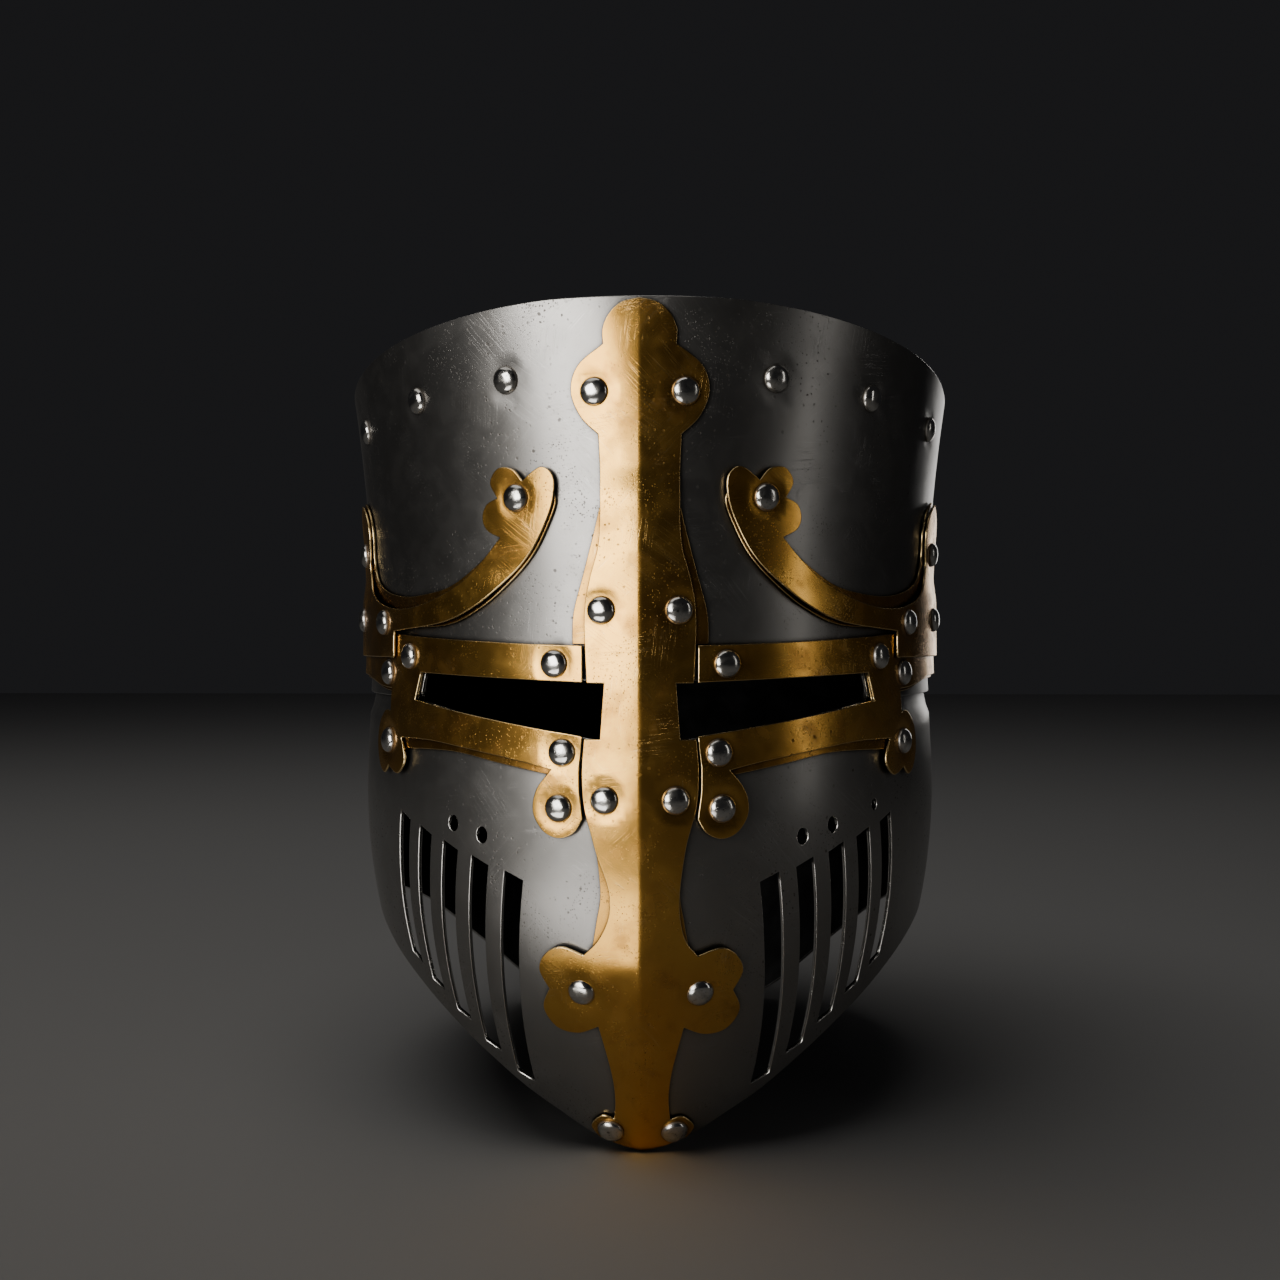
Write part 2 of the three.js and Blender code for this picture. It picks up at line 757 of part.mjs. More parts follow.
function backLowerPlate() {
  const offsetAt = (round, z) => plateOut + sideTuck(round) + seamTuck(z);
  return backPlate('back_lower_plate', lowerEdgeAt, () => seamHeight + lapHeight, offsetAt, 2);
}

// Crown plate: a flat top let into the walls, with a flange turned down inside them
function crownPlate() {
  const columns = 4 * columnsPerQuarter;
  const insideWall = (round) => {
    const away = Math.min(round, 4 - round);
    const column = 1 / columnsPerQuarter;
    const tuck = ramp(away, 1 - 2 * column, 1 - column) * (1 - ramp(away, 1 + column, 1 + 2 * column));
    return -steelThickness - crownClearance - steelStep * tuck;
  };
  const loop = (drop, inward) => Array.from({ length: columns }, (_, column) => {
    const round = column / columnsPerQuarter;
    const z = rimAt(Math.min(round, 4 - round)) - drop;
    const point = foldedPoint(round > 2 ? round - 4 : round, z, insideWall(round) - inward);
    point.z = rimHeight(point.y) - drop;
    return point;
  });
  const loops = [
    loop(crownInset + crownFlange, 0),
    loop(crownInset + crownCorner, 0),
    loop(crownInset, crownCorner),
    loop(crownInset + steelThickness, crownCorner + steelThickness / 2),
    loop(crownInset + crownCorner, steelThickness),
    loop(crownInset + crownFlange, steelThickness),
  ];
  const positions = loops.flat().flatMap((point) => point.toArray());
  const triangles = [];
  for (let ring = 0; ring < loops.length; ring += 1) {
    const above = (ring + 1) % loops.length;
    if (ring !== 2) {
      for (let column = 0; column < columns; column += 1) {
        const next = (column + 1) % columns;
        const [a, b] = [ring * columns + column, ring * columns + next];
        const [c, d] = [above * columns + column, above * columns + next];
        triangles.push(a, b, d, a, d, c);
      }
    }
  }
  for (const [ring, drop, up] of [[2, crownInset, true], [3, crownInset + steelThickness, false]]) {
    const middle = positions.length / 3;
    positions.push(0, 0, rimHeight(0) - drop);
    for (let column = 0; column < columns; column += 1) {
      const [a, b] = [ring * columns + column, ring * columns + ((column + 1) % columns)];
      triangles.push(...(up ? [a, b, middle] : [b, a, middle]));
    }
  }
  return solid('crown_plate', steel, positions, triangles);
}

helm.add(crownPlate(), browPlate(), backUpperPlate(), facePlate(), backLowerPlate());

// Offsets of the brass layers from the steel: the under layer, the upper one, and what lies over that
const firstLayer = sheetGap;
const secondLayer = firstLayer + brassStep;
const thirdLayer = secondLayer + brassStep;

// Bar down the keel. It bends down to the steel past the ends of the layer under it
function heightOf(up) {
  return up < 1 ? up * sightLevel : sightLevel + (up - 1) * (helmHeight - sightLevel);
}

function barPoint(row) {
  return { length: row.across * barReach, z: heightOf(row.up), corner: row.corner };
}

function barOutline(footRows, headRows, margin, narrowing) {
  const slitBottom = sightLevel - slitInnerOpening / 2 - margin;
  const slitTop = sightLevel + slitInnerOpening / 2 + margin;
  const half = [
    ...footRows.map(barPoint),
    { length: barAtSlit - margin, z: slitBottom, corner: true },
    { length: slitInner + notchSlant - margin, z: slitBottom, corner: true },
    { length: slitInner - notchSlant - margin, z: slitTop, corner: true },
    { length: barAtSlit - neckStep - margin, z: slitTop, corner: true },
    ...headRows.map(barPoint),
  ];
  const line = smoothLine(half);
  const waist = heightOf(0.6);
  const left = line.slice(1, -1).reverse().map((p) => {
    const near = 1 - ramp(Math.abs(p.y - waist), waistNear, waistFar);
    return new THREE.Vector2(-p.x + narrowing * near, p.y);
  });
  return [...line, ...left].map((p) => flatFromLength(p.x, p.y));
}

function barLevel(z) {
  const low = ramp(z, lowerRows[3], lowerRows[4]);
  const high = 1 - ramp(z, upperRows[2], upperRows[3]);
  return firstLayer + brassStep * Math.min(low, high);
}

helm.add(
  sheet('keel_bar', brass, barOutline(barFoot, barHead, 0, waistNarrowing), [], brassThickness, (_, z) => barLevel(z)),
  sheet('keel_bar_backing', brass, barOutline(backingFoot, backingHead, 1, 0), [], brassThickness, () => firstLayer),
);

// Frames round the sights, each an arm that runs back under the horned end
function frameOutline(rowsOfEdge, margin, inner, side) {
  const outer = smoothLine(rowsOfEdge.map((row) => {
    return { length: row.across * armReach, z: sightLevel + row.up * armDepth, corner: row.corner };
  }));
  const below = slitEdge(inner, margin, false);
  const above = slitEdge(inner, margin, true).reverse();
  const slit = [...below, ...above].map((point) => new THREE.Vector2(point.length, point.z));
  return [...outer, ...slit].map((p) => flatFromLength(side * p.x, p.y));
}

// Horned end of an arm, its two halves alike before and behind its middle
function hornOutline(rowsOfEdge, side) {
  const front = smoothLine(rowsOfEdge.map((row) => {
    return { length: row.across * hornReach, z: stemBottom + row.up * hornHeight, corner: row.corner };
  }));
  const rear = front.slice(1, -1).reverse().map((p) => new THREE.Vector2(-p.x, p.y));
  return [...front, ...rear].map((p) => flatFromLength(side * (hornAxis - p.x), p.y));
}

function hornLevel(z) {
  return thirdLayer - brassStep * ramp(z, upperRows[0], upperRows[1]);
}

for (const [word, side] of [['left', -1], ['right', 1]]) {
  const frame = frameOutline(frameEdge, 0, barAtSlit + armInset, side);
  const frameBacking = frameOutline(frameBackingEdge, backingMargin, barAtSlit + backingInset, side);
  const horn = hornOutline(hornEdge, side);
  const hornBacking = hornOutline(hornBackingEdge, side);
  helm.add(
    sheet(`sight_frame_${word}`, brass, frame, [], brassThickness, () => secondLayer),
    sheet(`sight_backing_${word}`, brass, frameBacking, [], brassThickness, () => firstLayer),
    sheet(`horn_${word}`, brass, horn, [], brassThickness, (_, z) => hornLevel(z)),
    sheet(`horn_backing_${word}`, brass, hornBacking, [], brassThickness, () => firstLayer),
  );
}

// Domed rivets, each seated on the sheet under it
function rivet(name, round, z, level) {
  const profile = [
    new THREE.Vector2(0, 0),
    new THREE.Vector2(rivetRadius, 0),
    new THREE.Vector2(rivetRadius * 0.94, rivetHeight * 0.42),
    new THREE.Vector2(rivetRadius * 0.6, rivetHeight * 0.85),
    new THREE.Vector2(0, rivetHeight),
  ];
  const mesh = new THREE.Mesh(new THREE.LatheGeometry(profile, rivetSides), rivetSteel);
  const side = 0.01;
  const above = 1;
  const across = foldedPoint(round + side, z, level).sub(foldedPoint(round - side, z, level));
  const upward = foldedPoint(round, z + above, level).sub(foldedPoint(round, z - above, level));
  const outward = across.cross(upward).normalize();
  mesh.quaternion.setFromUnitVectors(new THREE.Vector3(0, 1, 0), outward);
  mesh.position.copy(foldedPoint(round, z, level + rivetGap));
  mesh.name = name;
  return mesh;
}

const overFirst = firstLayer + brassThickness;
const overSecond = secondLayer + brassThickness;
const overThird = thirdLayer + brassThickness;
const overCross = barLevel(heightOf(0.4) + rivetRadius) + brassThickness;
const armLevel = (share) => sightLevel + share * armDepth;

// Rivets of one side: name, length out from the ridge, height and level of the sheet that they hold
const sideRivets = [
  { name: 'bar_head', out: 0.44 * barReach, z: heightOf(1.775), level: overFirst },
  { name: 'bar_upper', out: 0.37 * barReach, z: heightOf(1.246), level: overSecond },
  { name: 'bar_lower', out: 0.34 * barReach, z: heightOf(0.814), level: overSecond },
  { name: 'bar_cross', out: 0.58 * barReach, z: heightOf(0.4), level: overCross },
  { name: 'bar_foot', out: 0.33 * barReach, z: heightOf(0.056), level: overFirst },
  { name: 'frame_inner', out: 0.255 * armReach, z: armLevel(0.585), level: overSecond },
  { name: 'frame_outer', out: 0.862 * armReach, z: armLevel(0.66), level: overSecond },
  { name: 'frame_corner', out: 1.02 * armReach, z: armLevel(0.43), level: overSecond },
  { name: 'frame_lobe', out: 1.005 * armReach, z: armLevel(-0.515), level: overSecond },
  { name: 'tab_upper', out: 0.23 * armReach, z: armLevel(-0.515), level: overSecond },
  { name: 'tab_lower', out: 0.24 * armReach, z: armLevel(-1.205), level: overSecond },
  { name: 'horn_front', out: hornAxis - 0.885 * hornReach, z: stemBottom + 0.83 * hornHeight, level: overSecond },
  { name: 'horn_middle', out: hornAxis, z: stemBottom + 0.615 * hornHeight, level: overSecond },
  { name: 'horn_rear', out: hornAxis + 0.885 * hornReach, z: stemBottom + 0.83 * hornHeight, level: overSecond },
  { name: 'stem_front', out: hornAxis - 0.29 * hornReach, z: stemBottom + 0.2 * hornHeight, level: overThird },
  { name: 'stem_middle', out: hornAxis, z: stemBottom + 0.22 * hornHeight, level: overThird },
];

// Rivets of the crown row, in quarter turns round from the ridge
const crownRivets = [
  { name: 'crown_front', round: 0.24 },
  { name: 'crown_brow', round: 0.456 },
  { name: 'crown_side', round: 0.7 },
  { name: 'crown_ear', round: 1.18 },
  { name: 'crown_nape', round: 1.5 },
  { name: 'crown_back', round: 1.82 },
];

for (const [word, side] of [['left', -1], ['right', 1]]) {
  for (const { name, out, z, level } of sideRivets) {
    helm.add(rivet(`rivet_${name}_${word}`, roundAt(side * out, z), z, level));
  }
  for (const { name, round } of crownRivets) {
    const z = rimAt(round) - crownRivetDrop + crownRivetRise * ramp(round, 0.24, 1);
    helm.add(rivet(`rivet_${name}_${word}`, side * round, z, 0));
  }
}

// The origin lies under the middle of the helm's box
const box = new THREE.Box3().setFromObject(helm);
helm.position.set(0, -(box.min.y + box.max.y) / 2, -box.min.z);

export default helm;
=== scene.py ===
"""Great helm of riveted steel plates with a brass cross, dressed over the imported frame."""
import math

import bpy
import numpy as np
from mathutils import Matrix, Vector
from mathutils.geometry import delaunay_2d_cdt


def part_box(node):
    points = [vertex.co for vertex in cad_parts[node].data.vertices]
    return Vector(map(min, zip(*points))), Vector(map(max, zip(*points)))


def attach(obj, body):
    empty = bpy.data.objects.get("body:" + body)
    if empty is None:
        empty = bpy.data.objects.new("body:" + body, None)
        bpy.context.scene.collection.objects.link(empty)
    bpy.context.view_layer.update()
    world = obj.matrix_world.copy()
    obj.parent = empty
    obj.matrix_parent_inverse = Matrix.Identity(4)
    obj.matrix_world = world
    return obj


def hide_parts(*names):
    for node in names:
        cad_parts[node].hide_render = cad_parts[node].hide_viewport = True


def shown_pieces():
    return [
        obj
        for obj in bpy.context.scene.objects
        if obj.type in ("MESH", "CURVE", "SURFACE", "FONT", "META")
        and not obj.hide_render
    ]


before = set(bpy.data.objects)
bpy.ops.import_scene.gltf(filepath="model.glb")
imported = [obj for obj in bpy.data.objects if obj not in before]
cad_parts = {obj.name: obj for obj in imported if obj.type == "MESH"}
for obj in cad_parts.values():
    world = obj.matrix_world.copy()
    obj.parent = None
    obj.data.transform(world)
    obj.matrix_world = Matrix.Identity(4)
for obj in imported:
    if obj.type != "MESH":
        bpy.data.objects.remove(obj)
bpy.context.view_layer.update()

# Wall plates
# Four plates of steel sheet, raised to one shell with a keel in front and an oval back, lapped and
# riveted at the sights' level and at the sides. The face plate is cut through for breath.
HELM_HEIGHT = 295.0
HALF_WIDTH = 118.0
REACH = 145.0
KEEL_PINCH = 15.0
STEEL_THICK = 1.6
SHEET_GAP = 0.3
SIGHT_LEVEL = 158.3
SEAM_HEIGHT = SIGHT_LEVEL + 2.7
LAP = 9.0
RIM_FALL = 0.133
QUARTER = 200.0
FRONT_END = 1.03
BACK_START = 0.95
SHELL = np.array([
    # height, width, front, back, keel
    (0.0, 0.780, 0.766, 0.840, 1.00),
    (0.1, 0.873, 0.874, 0.917, 1.00),
    (0.2, 0.947, 0.950, 0.966, 1.00),
    (0.3, 0.998, 0.990, 0.993, 1.00),
    (0.4, 1.019, 1.003, 1.000, 1.00),
    (0.5, 1.010, 1.001, 1.000, 1.00),
    (0.6, 1.000, 1.000, 1.000, 1.00),
    (0.7, 1.000, 1.003, 1.000, 1.00),
    (0.8, 1.017, 1.009, 1.007, 0.95),
    (0.9, 1.044, 1.019, 1.014, 0.62),
    (1.0, 1.079, 1.033, 1.026, 0.10),
])
LOWER_EDGE = np.array([
    # quarter turns round, height
    (0.00, 0.000), (0.06, 0.008), (0.12, 0.021), (0.19, 0.046), (0.27, 0.073), (0.35, 0.105),
    (0.49, 0.159), (0.63, 0.205), (0.80, 0.245), (1.00, 0.250), (1.20, 0.205), (1.40, 0.110),
    (1.55, 0.030), (1.66, 0.000), (2.00, 0.000),
])


def along(table, column, values):
    """Smooth value of one column of a table at places in its first column."""
    xs, ys = table[:, 0], table[:, column]
    slopes = np.gradient(ys, xs)
    slopes[1:-1] = (ys[2:] - ys[:-2]) / (xs[2:] - xs[:-2])
    i = np.clip(np.searchsorted(xs, values, side="right") - 1, 0, len(xs) - 2)
    step = xs[i + 1] - xs[i]
    t = (values - xs[i]) / step
    ends = ys[i] * (2 * t**3 - 3 * t**2 + 1) + ys[i + 1] * (3 * t**2 - 2 * t**3)
    return ends + step * (slopes[i] * (t**3 - 2 * t**2 + t) + slopes[i + 1] * (t**3 - t**2))


def ramp(values, low, high):
    """Smooth change from 0 at one value to 1 at another."""
    t = np.clip((values - low) / (high - low), 0.0, 1.0)
    return t * t * (3 - 2 * t)


def shell_point(turn, z):
    """Points of the shell in millimetres, some quarter turns round from the ridge, at heights."""
    turn, z = np.broadcast_arrays(np.asarray(turn, float), np.asarray(z, float))
    turn = np.where(turn > 2, turn - 4, turn)
    side, away, share = np.where(turn < 0, -1.0, 1.0), np.abs(turn), z / HELM_HEIGHT
    width = HALF_WIDTH * along(SHELL, 1, share)
    front = REACH * along(SHELL, 2, share)
    back = REACH * along(SHELL, 3, share)
    keel = KEEL_PINCH * along(SHELL, 4, share)
    start = np.arcsin(keel / (width + keel))
    angle = np.where(away > 1, (away - 1) * np.pi / 2, start + (np.pi / 2 - start) * away)
    x = np.where(away > 1, width * np.cos(angle), (width + keel) * np.sin(angle) - keel)
    y = np.where(away > 1, back * np.sin(angle), -front * np.cos(angle) / np.cos(start))
    return np.stack([side * x, y, z], axis=-1)


def unit(vectors):
    return vectors / np.linalg.norm(vectors, axis=-1, keepdims=True)


def shell_normal(turn, z):
    across = shell_point(turn + 0.003, z) - shell_point(turn - 0.003, z)
    upward = shell_point(turn, z + 1) - shell_point(turn, z - 1)
    return unit(np.cross(across, upward))


ARC_TURNS = np.linspace(0, 2, 401)


def turn_at(length, z):
    """Quarter turns that a level length along the wall reaches from the ridge, at a height."""
    path = shell_point(ARC_TURNS, z)
    run = np.concatenate([[0], np.cumsum(np.linalg.norm(np.diff(path, axis=0), axis=1))])
    return math.copysign(np.interp(abs(length), run, ARC_TURNS), length)


def flat(length, z):
    """A point of the flat pattern from a length out along the wall and a height."""
    return (QUARTER * turn_at(length, z), z)


def hand_waviness(x, z):
    """Slow unevenness that hammering and planishing leave, the same for every layer."""
    broad = 0.15 * np.sin(x / 25 + 1.3) * np.sin(z / 31 + 0.5)
    middling = 0.07 * np.sin(x / 12.5 + z / 17) * np.sin(z / 14 - x / 19 + 1)
    return broad + middling + 0.02 * np.sin(x / 5.3 - z / 7.1 + 2)


RIM_FRONT = REACH * SHELL[-1, 2]
ROW_SHIFT = np.array([0.0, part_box("brow_plate")[0].y * 1000 + RIM_FRONT, 0.0])
RIVET_MIDDLES = {
    name: np.array((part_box(name)[0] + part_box(name)[1]) / 2 * 1000) - ROW_SHIFT
    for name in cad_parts
    if name.startswith("rivet_")
}
RIVET_RADIUS = 4.75
DISH_DEPTH = 0.34
DISH_FLOOR, DISH_EDGE = 4.4, 8.6
DISH_REACH = 9.0


def rivet_dish(places, normals):
    """Shallow dish that setting a rivet leaves in the sheets round it."""
    depth = np.zeros(len(places))
    for middle in RIVET_MIDDLES.values():
        apart = places - middle
        out = (apart * normals).sum(axis=1)
        aside = np.sqrt(np.maximum((apart**2).sum(axis=1) - out**2, 0))
        near = np.abs(out) < DISH_REACH
        sunk = DISH_DEPTH * (1 - ramp(aside, DISH_FLOOR, DISH_EDGE))
        depth = np.where(near, np.maximum(depth, sunk), depth)
    return depth


def on_shell(x, z, offset_at, depth=0.0):
    """Places over the shell, in row millimetres, of pattern points at an offset and a depth."""
    turn = x / QUARTER
    turn = np.where(turn > 2, turn - 4, turn)
    bare, normals = shell_point(turn, z), shell_normal(turn, z)
    level = offset_at(np.abs(turn), z)
    away = level + hand_waviness(turn * QUARTER, z) - rivet_dish(bare, normals) + depth
    return bare + normals * away[:, None] + ROW_SHIFT


def shell_frame(x, z, offset_at):
    """Directions round the shell, up it and out of it at pattern points, unevenness included."""
    step = 0.5
    round_it = unit(on_shell(x + step, z, offset_at) - on_shell(x - step, z, offset_at))
    up_it = unit(on_shell(x, z + step, offset_at) - on_shell(x, z - step, offset_at))
    return round_it, up_it, unit(np.cross(round_it, up_it))


def even_ring(ring, longest):
    """A closed ring whose long edges are cut to steps no longer than a length."""
    made = []
    for a, b in zip(ring, np.roll(ring, -1, axis=0)):
        pieces = max(1, math.ceil(np.linalg.norm(b - a) / longest))
        made += [a + (b - a) * i / pieces for i in range(pieces)]
    return np.array(made)


def drawn_in(ring, distance):
    """A closed ring moved to its left by a distance, corners kept."""
    along_it = unit(np.roll(ring, -1, axis=0) - ring)
    before = np.roll(along_it, 1, axis=0)
    left = np.stack([-along_it[:, 1] - before[:, 1], along_it[:, 0] + before[:, 0]], axis=-1)
    left = unit(left)
    lean = np.maximum((left[:, 0] * -along_it[:, 1]) + (left[:, 1] * along_it[:, 0]), 0.5)
    return ring + left * (distance / lean)[:, None]


def inside(rings, places):
    """Which places lie in the area between rings."""
    within = np.zeros(len(places), bool)
    for ring in rings:
        for (ax, ay), (bx, by) in zip(ring, np.roll(ring, -1, axis=0)):
            if ay != by:
                spans = (ay > places[:, 1]) != (by > places[:, 1])
                within ^= spans & (places[:, 0] < (bx - ax) * (places[:, 1] - ay) / (by - ay) + ax)
    return within


def turned_to(ring, anticlockwise):
    ring = np.array(ring, float)
    ring = ring[np.linalg.norm(ring - np.roll(ring, 1, axis=0), axis=1) > 1e-3]
    area = (ring[:, 0] * np.roll(ring[:, 1], -1) - ring[:, 1] * np.roll(ring[:, 0], -1)).sum()
    return ring if (area > 0) == anticlockwise else ring[::-1]


# Share of a rounding's size at the middle of its quarter circle.
HALFWAY = 0.29
# Places across the keel's crease that take the columns of points there, and how far they reach.
KEEL_COLUMNS = (-1.8, -0.6, 0.0, 0.6, 1.8)
KEEL_STRIP = 3.0


def flat_slab(rings, thick, rounding, grid):
    """A flat sheet from some rings: its places, its faces, and how many places are on its sides."""
    rings = [even_ring(turned_to(ring, i == 0), grid) for i, ring in enumerate(rings)]
    caps = [drawn_in(ring, rounding) for ring in rings]
    soft = rounding * HALFWAY
    mids = [drawn_in(ring, soft) for ring in rings]
    low, high = caps[0].min(axis=0), caps[0].max(axis=0)
    xs = np.arange(math.ceil(low[0] / grid), math.floor(high[0] / grid) + 1) * grid
    xs = xs[np.abs(xs) > KEEL_STRIP]
    zs = np.arange(math.ceil(low[1] / grid), math.floor(high[1] / grid) + 1) * grid
    keel = [x for x in KEEL_COLUMNS if low[0] < x < high[0]]
    fill = np.array([(x, z) for x in (*xs, *keel) for z in zs])
    fill = fill[inside([drawn_in(ring, rounding + 0.15 * grid) for ring in rings], fill)]
    border = np.concatenate(caps)
    edges, start = [], 0
    for ring in caps:
        edges += [(start + i, start + (i + 1) % len(ring)) for i in range(len(ring))]
        start += len(ring)
    flat_places = [Vector(place) for place in np.concatenate([border, fill])]
    places, _, cells, origins, *_ = delaunay_2d_cdt(flat_places, edges, [], 0, 1e-5)
    places = np.array(places)
    cells = np.array([cell if len(cell) == 3 else cell[:3] for cell in cells])
    cells = cells[inside(caps, places[cells].mean(axis=1))]
    own = np.full(len(border), -1)
    for i, came_from in enumerate(origins):
        for j in came_from:
            if j < len(border):
                own[j] = i
    count = len(places)
    half = thick / 2
    top = np.column_stack([places, np.full(count, half)])
    bottom = np.column_stack([places, np.full(count, -half)])
    levels = (
        (mids, half - soft),
        (rings, half - rounding),
        (rings, rounding - half),
        (mids, soft - half),
    )
    walls = [
        np.column_stack([np.concatenate(shape), np.full(len(border), level)])
        for shape, level in levels
    ]
    every = np.concatenate([top, bottom, *walls])
    faces = [*cells.tolist(), *(cells[:, ::-1] + count).tolist()]
    between = [2 * count + len(border) * k + np.arange(len(border)) for k in range(len(levels))]
    lines = [own, *between, own + count]
    start = 0
    for ring in caps:
        here = start + np.arange(len(ring))
        after = np.roll(here, -1)
        for upper, lower in zip(lines, lines[1:]):
            quads = (upper[after], upper[here], lower[here], lower[after])
            faces += np.stack(quads, axis=-1).tolist()
        start += len(ring)
    return every, faces, 2 * count


def map_pattern(mesh, flat_places):
    """Keeps the flat pattern's places, in millimetres, as the texture places of a mesh."""
    corner_verts = np.empty(len(mesh.loops), dtype=int)
    mesh.loops.foreach_get("vertex_index", corner_verts)
    pattern_map = mesh.uv_layers.new(name="pattern")
    pattern_map.data.foreach_set("uv", flat_places[corner_verts].ravel())


def sheet_piece(name, stands_for, rings, thick, offset_at, material, grid, rounding=0.28):
    """A sheet of metal over the shell, from its flat rings, that stands for a node of the frame."""
    slab, faces, flat_count = flat_slab(rings, thick, rounding, grid)
    mesh = bpy.data.meshes.new(name)
    mesh.from_pydata(slab.tolist(), [], faces)
    x, z, level = slab.T
    own = np.empty(len(slab) * 3)
    mesh.vertices.foreach_get("normal", own)
    own = own.reshape(-1, 3)
    on_face = np.arange(len(slab)) < flat_count
    own[on_face] = np.stack([0 * level, 0 * level, np.sign(level)], axis=-1)[on_face]
    places = on_shell(x, z, offset_at, level + thick / 2)
    round_it, up_it, out = shell_frame(x, z, offset_at)
    normals = unit(own[:, :1] * round_it + own[:, 1:2] * up_it + own[:, 2:] * out)
    mesh.vertices.foreach_set("co", (places / 1000).ravel())
    map_pattern(mesh, np.stack([x, z], axis=-1))
    # Rounded edges and sides, which the materials lighten as wear and as a painted highlight.
    cut_edge = mesh.attributes.new("cut_edge", "FLOAT", "POINT")
    cut_edge.data.foreach_set("value", np.where(on_face, 0.0, 1.0))
    inner_face = mesh.attributes.new("inner_face", "FLOAT", "POINT")
    inner_face.data.foreach_set("value", np.where(on_face & (level < 0), 1.0, 0.0))
    mesh.polygons.foreach_set("use_smooth", [True] * len(mesh.polygons))
    mesh.update()
    mesh.normals_split_custom_set_from_vertices(normals.tolist())
    mesh.materials.append(material)
    piece = bpy.data.objects.new(name, mesh)
    bpy.context.scene.collection.objects.link(piece)
    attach(piece, "root")
    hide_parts(stands_for)


def node(tree, kind, inputs=(), **settings):
    """A shader node with its settings, and its inputs set or linked by name or number."""
    made = tree.nodes.new(kind)
    for key, value in settings.items():
        setattr(made, key, value)
    for key, value in dict(inputs).items():
        if isinstance(value, bpy.types.NodeSocket):
            tree.links.new(value, made.inputs[key])
        else:
            made.inputs[key].default_value = value
    return made


def maths(tree, operation, *values, clamp=False):
    sockets = dict(enumerate(values))
    made = node(tree, "ShaderNodeMath", sockets, operation=operation, use_clamp=clamp)
    return made.outputs[0]


def remap(tree, value, low, high, to_low=0.0, to_high=1.0):
    """A value carried smoothly from one range to another."""
    sockets = {0: value, 1: low, 2: high, 3: to_low, 4: to_high}
    return node(tree, "ShaderNodeMapRange", sockets, interpolation_type="SMOOTHSTEP").outputs[0]


def noise(tree, where, scale, detail=3.0, distortion=0.0, stretch=1.0, turn=0.0):
    """Noise of about one lump to so many millimetres, drawn out so many times along a direction."""
    drawn = {0: where, 2: (0, 0, turn), 3: (stretch, 1, 1)}
    placed = node(tree, "ShaderNodeMapping", drawn, vector_type="TEXTURE")
    sockets = {
        "Vector": placed.outputs[0],
        "Scale": 1 / scale,
        "Detail": detail,
        "Distortion": distortion,
    }
    return node(tree, "ShaderNodeTexNoise", sockets).outputs[0]


def new_group(name, ins, outs):
    """An empty shader node group with its sockets, and its two ends."""
    group = bpy.data.node_groups.new(name, "ShaderNodeTree")
    for socket, kind in ins:
        group.interface.new_socket(socket, in_out="INPUT", socket_type=kind)
    for socket, kind in outs:
        group.interface.new_socket(socket, in_out="OUTPUT", socket_type=kind)
    return group, group.nodes.new("NodeGroupInput"), group.nodes.new("NodeGroupOutput")


def scratch_group():
    """Fine lines in several directions, here and there, as handling and scouring leave them."""
    group, start, end = new_group(
        "scratches",
        [("Where", "NodeSocketVector"), ("Amount", "NodeSocketFloat")],
        [("Lines", "NodeSocketFloat")],
    )
    where = start.outputs["Where"]
    total = None
    turns = (0.12, 1.45, -0.62, 0.78, 2.3)
    for i, turn in enumerate(turns):
        long_noise = noise(group, where, 1.15 + 0.23 * i, 2.0, 0.2, 30.0, turn)
        ridge = maths(group, "ABSOLUTE", maths(group, "SUBTRACT", long_noise, 0.5))
        line = remap(group, ridge, 0.0, 0.013, 1.0, 0.0)
        patch = remap(group, noise(group, where, 19.0 + 4 * i, 2.0, 0.3), 0.52, 0.68)
        line = maths(group, "MULTIPLY", line, patch)
        total = line if total is None else maths(group, "MAXIMUM", total, line)
    lines = maths(group, "MULTIPLY", total, start.outputs["Amount"], clamp=True)
    group.links.new(lines, end.inputs["Lines"])
    return group


def pit_group():
    """Small round corrosion pits, in drifts, with a few larger ones."""
    group, start, end = new_group(
        "pits",
        [("Where", "NodeSocketVector"), ("Amount", "NodeSocketFloat")],
        [("Pits", "NodeSocketFloat")],
    )
    where = start.outputs["Where"]
    total = None
    for size, rarity, reach in ((1.6, 0.56, 0.30), (3.4, 0.62, 0.22), (0.8, 0.50, 0.34)):
        shift = noise_vector(group, where, 0.9)
        warped = node(group, "ShaderNodeVectorMath", {0: shift, 1: where}).outputs[0]
        sockets = {"Vector": warped, "Scale": 1 / size, "Randomness": 1.0}
        cells = node(group, "ShaderNodeTexVoronoi", sockets)
        spot = remap(group, cells.outputs["Distance"], reach * 0.5, reach, 1.0, 0.0)
        pick = node(group, "ShaderNodeSeparateColor", {0: cells.outputs["Color"]}).outputs[0]
        rare = remap(group, pick, rarity, rarity + 0.14)
        drift = remap(group, noise(group, where, 17 + 9 * size, 3.0, 0.5), 0.47, 0.66)
        spot = maths(group, "MULTIPLY", maths(group, "MULTIPLY", spot, rare), drift)
        total = spot if total is None else maths(group, "MAXIMUM", total, spot)
    pits = maths(group, "MULTIPLY", total, start.outputs["Amount"], clamp=True)
    group.links.new(pits, end.inputs["Pits"])
    return group


def noise_vector(tree, where, reach):
    """A small wandering shift of the place, to roughen outlines."""
    wander = node(tree, "ShaderNodeTexNoise", {"Vector": where, "Scale": 1.1, "Detail": 2.0})
    ends = {0: wander.outputs["Color"], 1: (0.5, 0.5, 0.5)}
    middled = node(tree, "ShaderNodeVectorMath", ends, operation="SUBTRACT").outputs[0]
    grown = node(tree, "ShaderNodeVectorMath", {0: middled, "Scale": reach}, operation="SCALE")
    return grown.outputs[0]


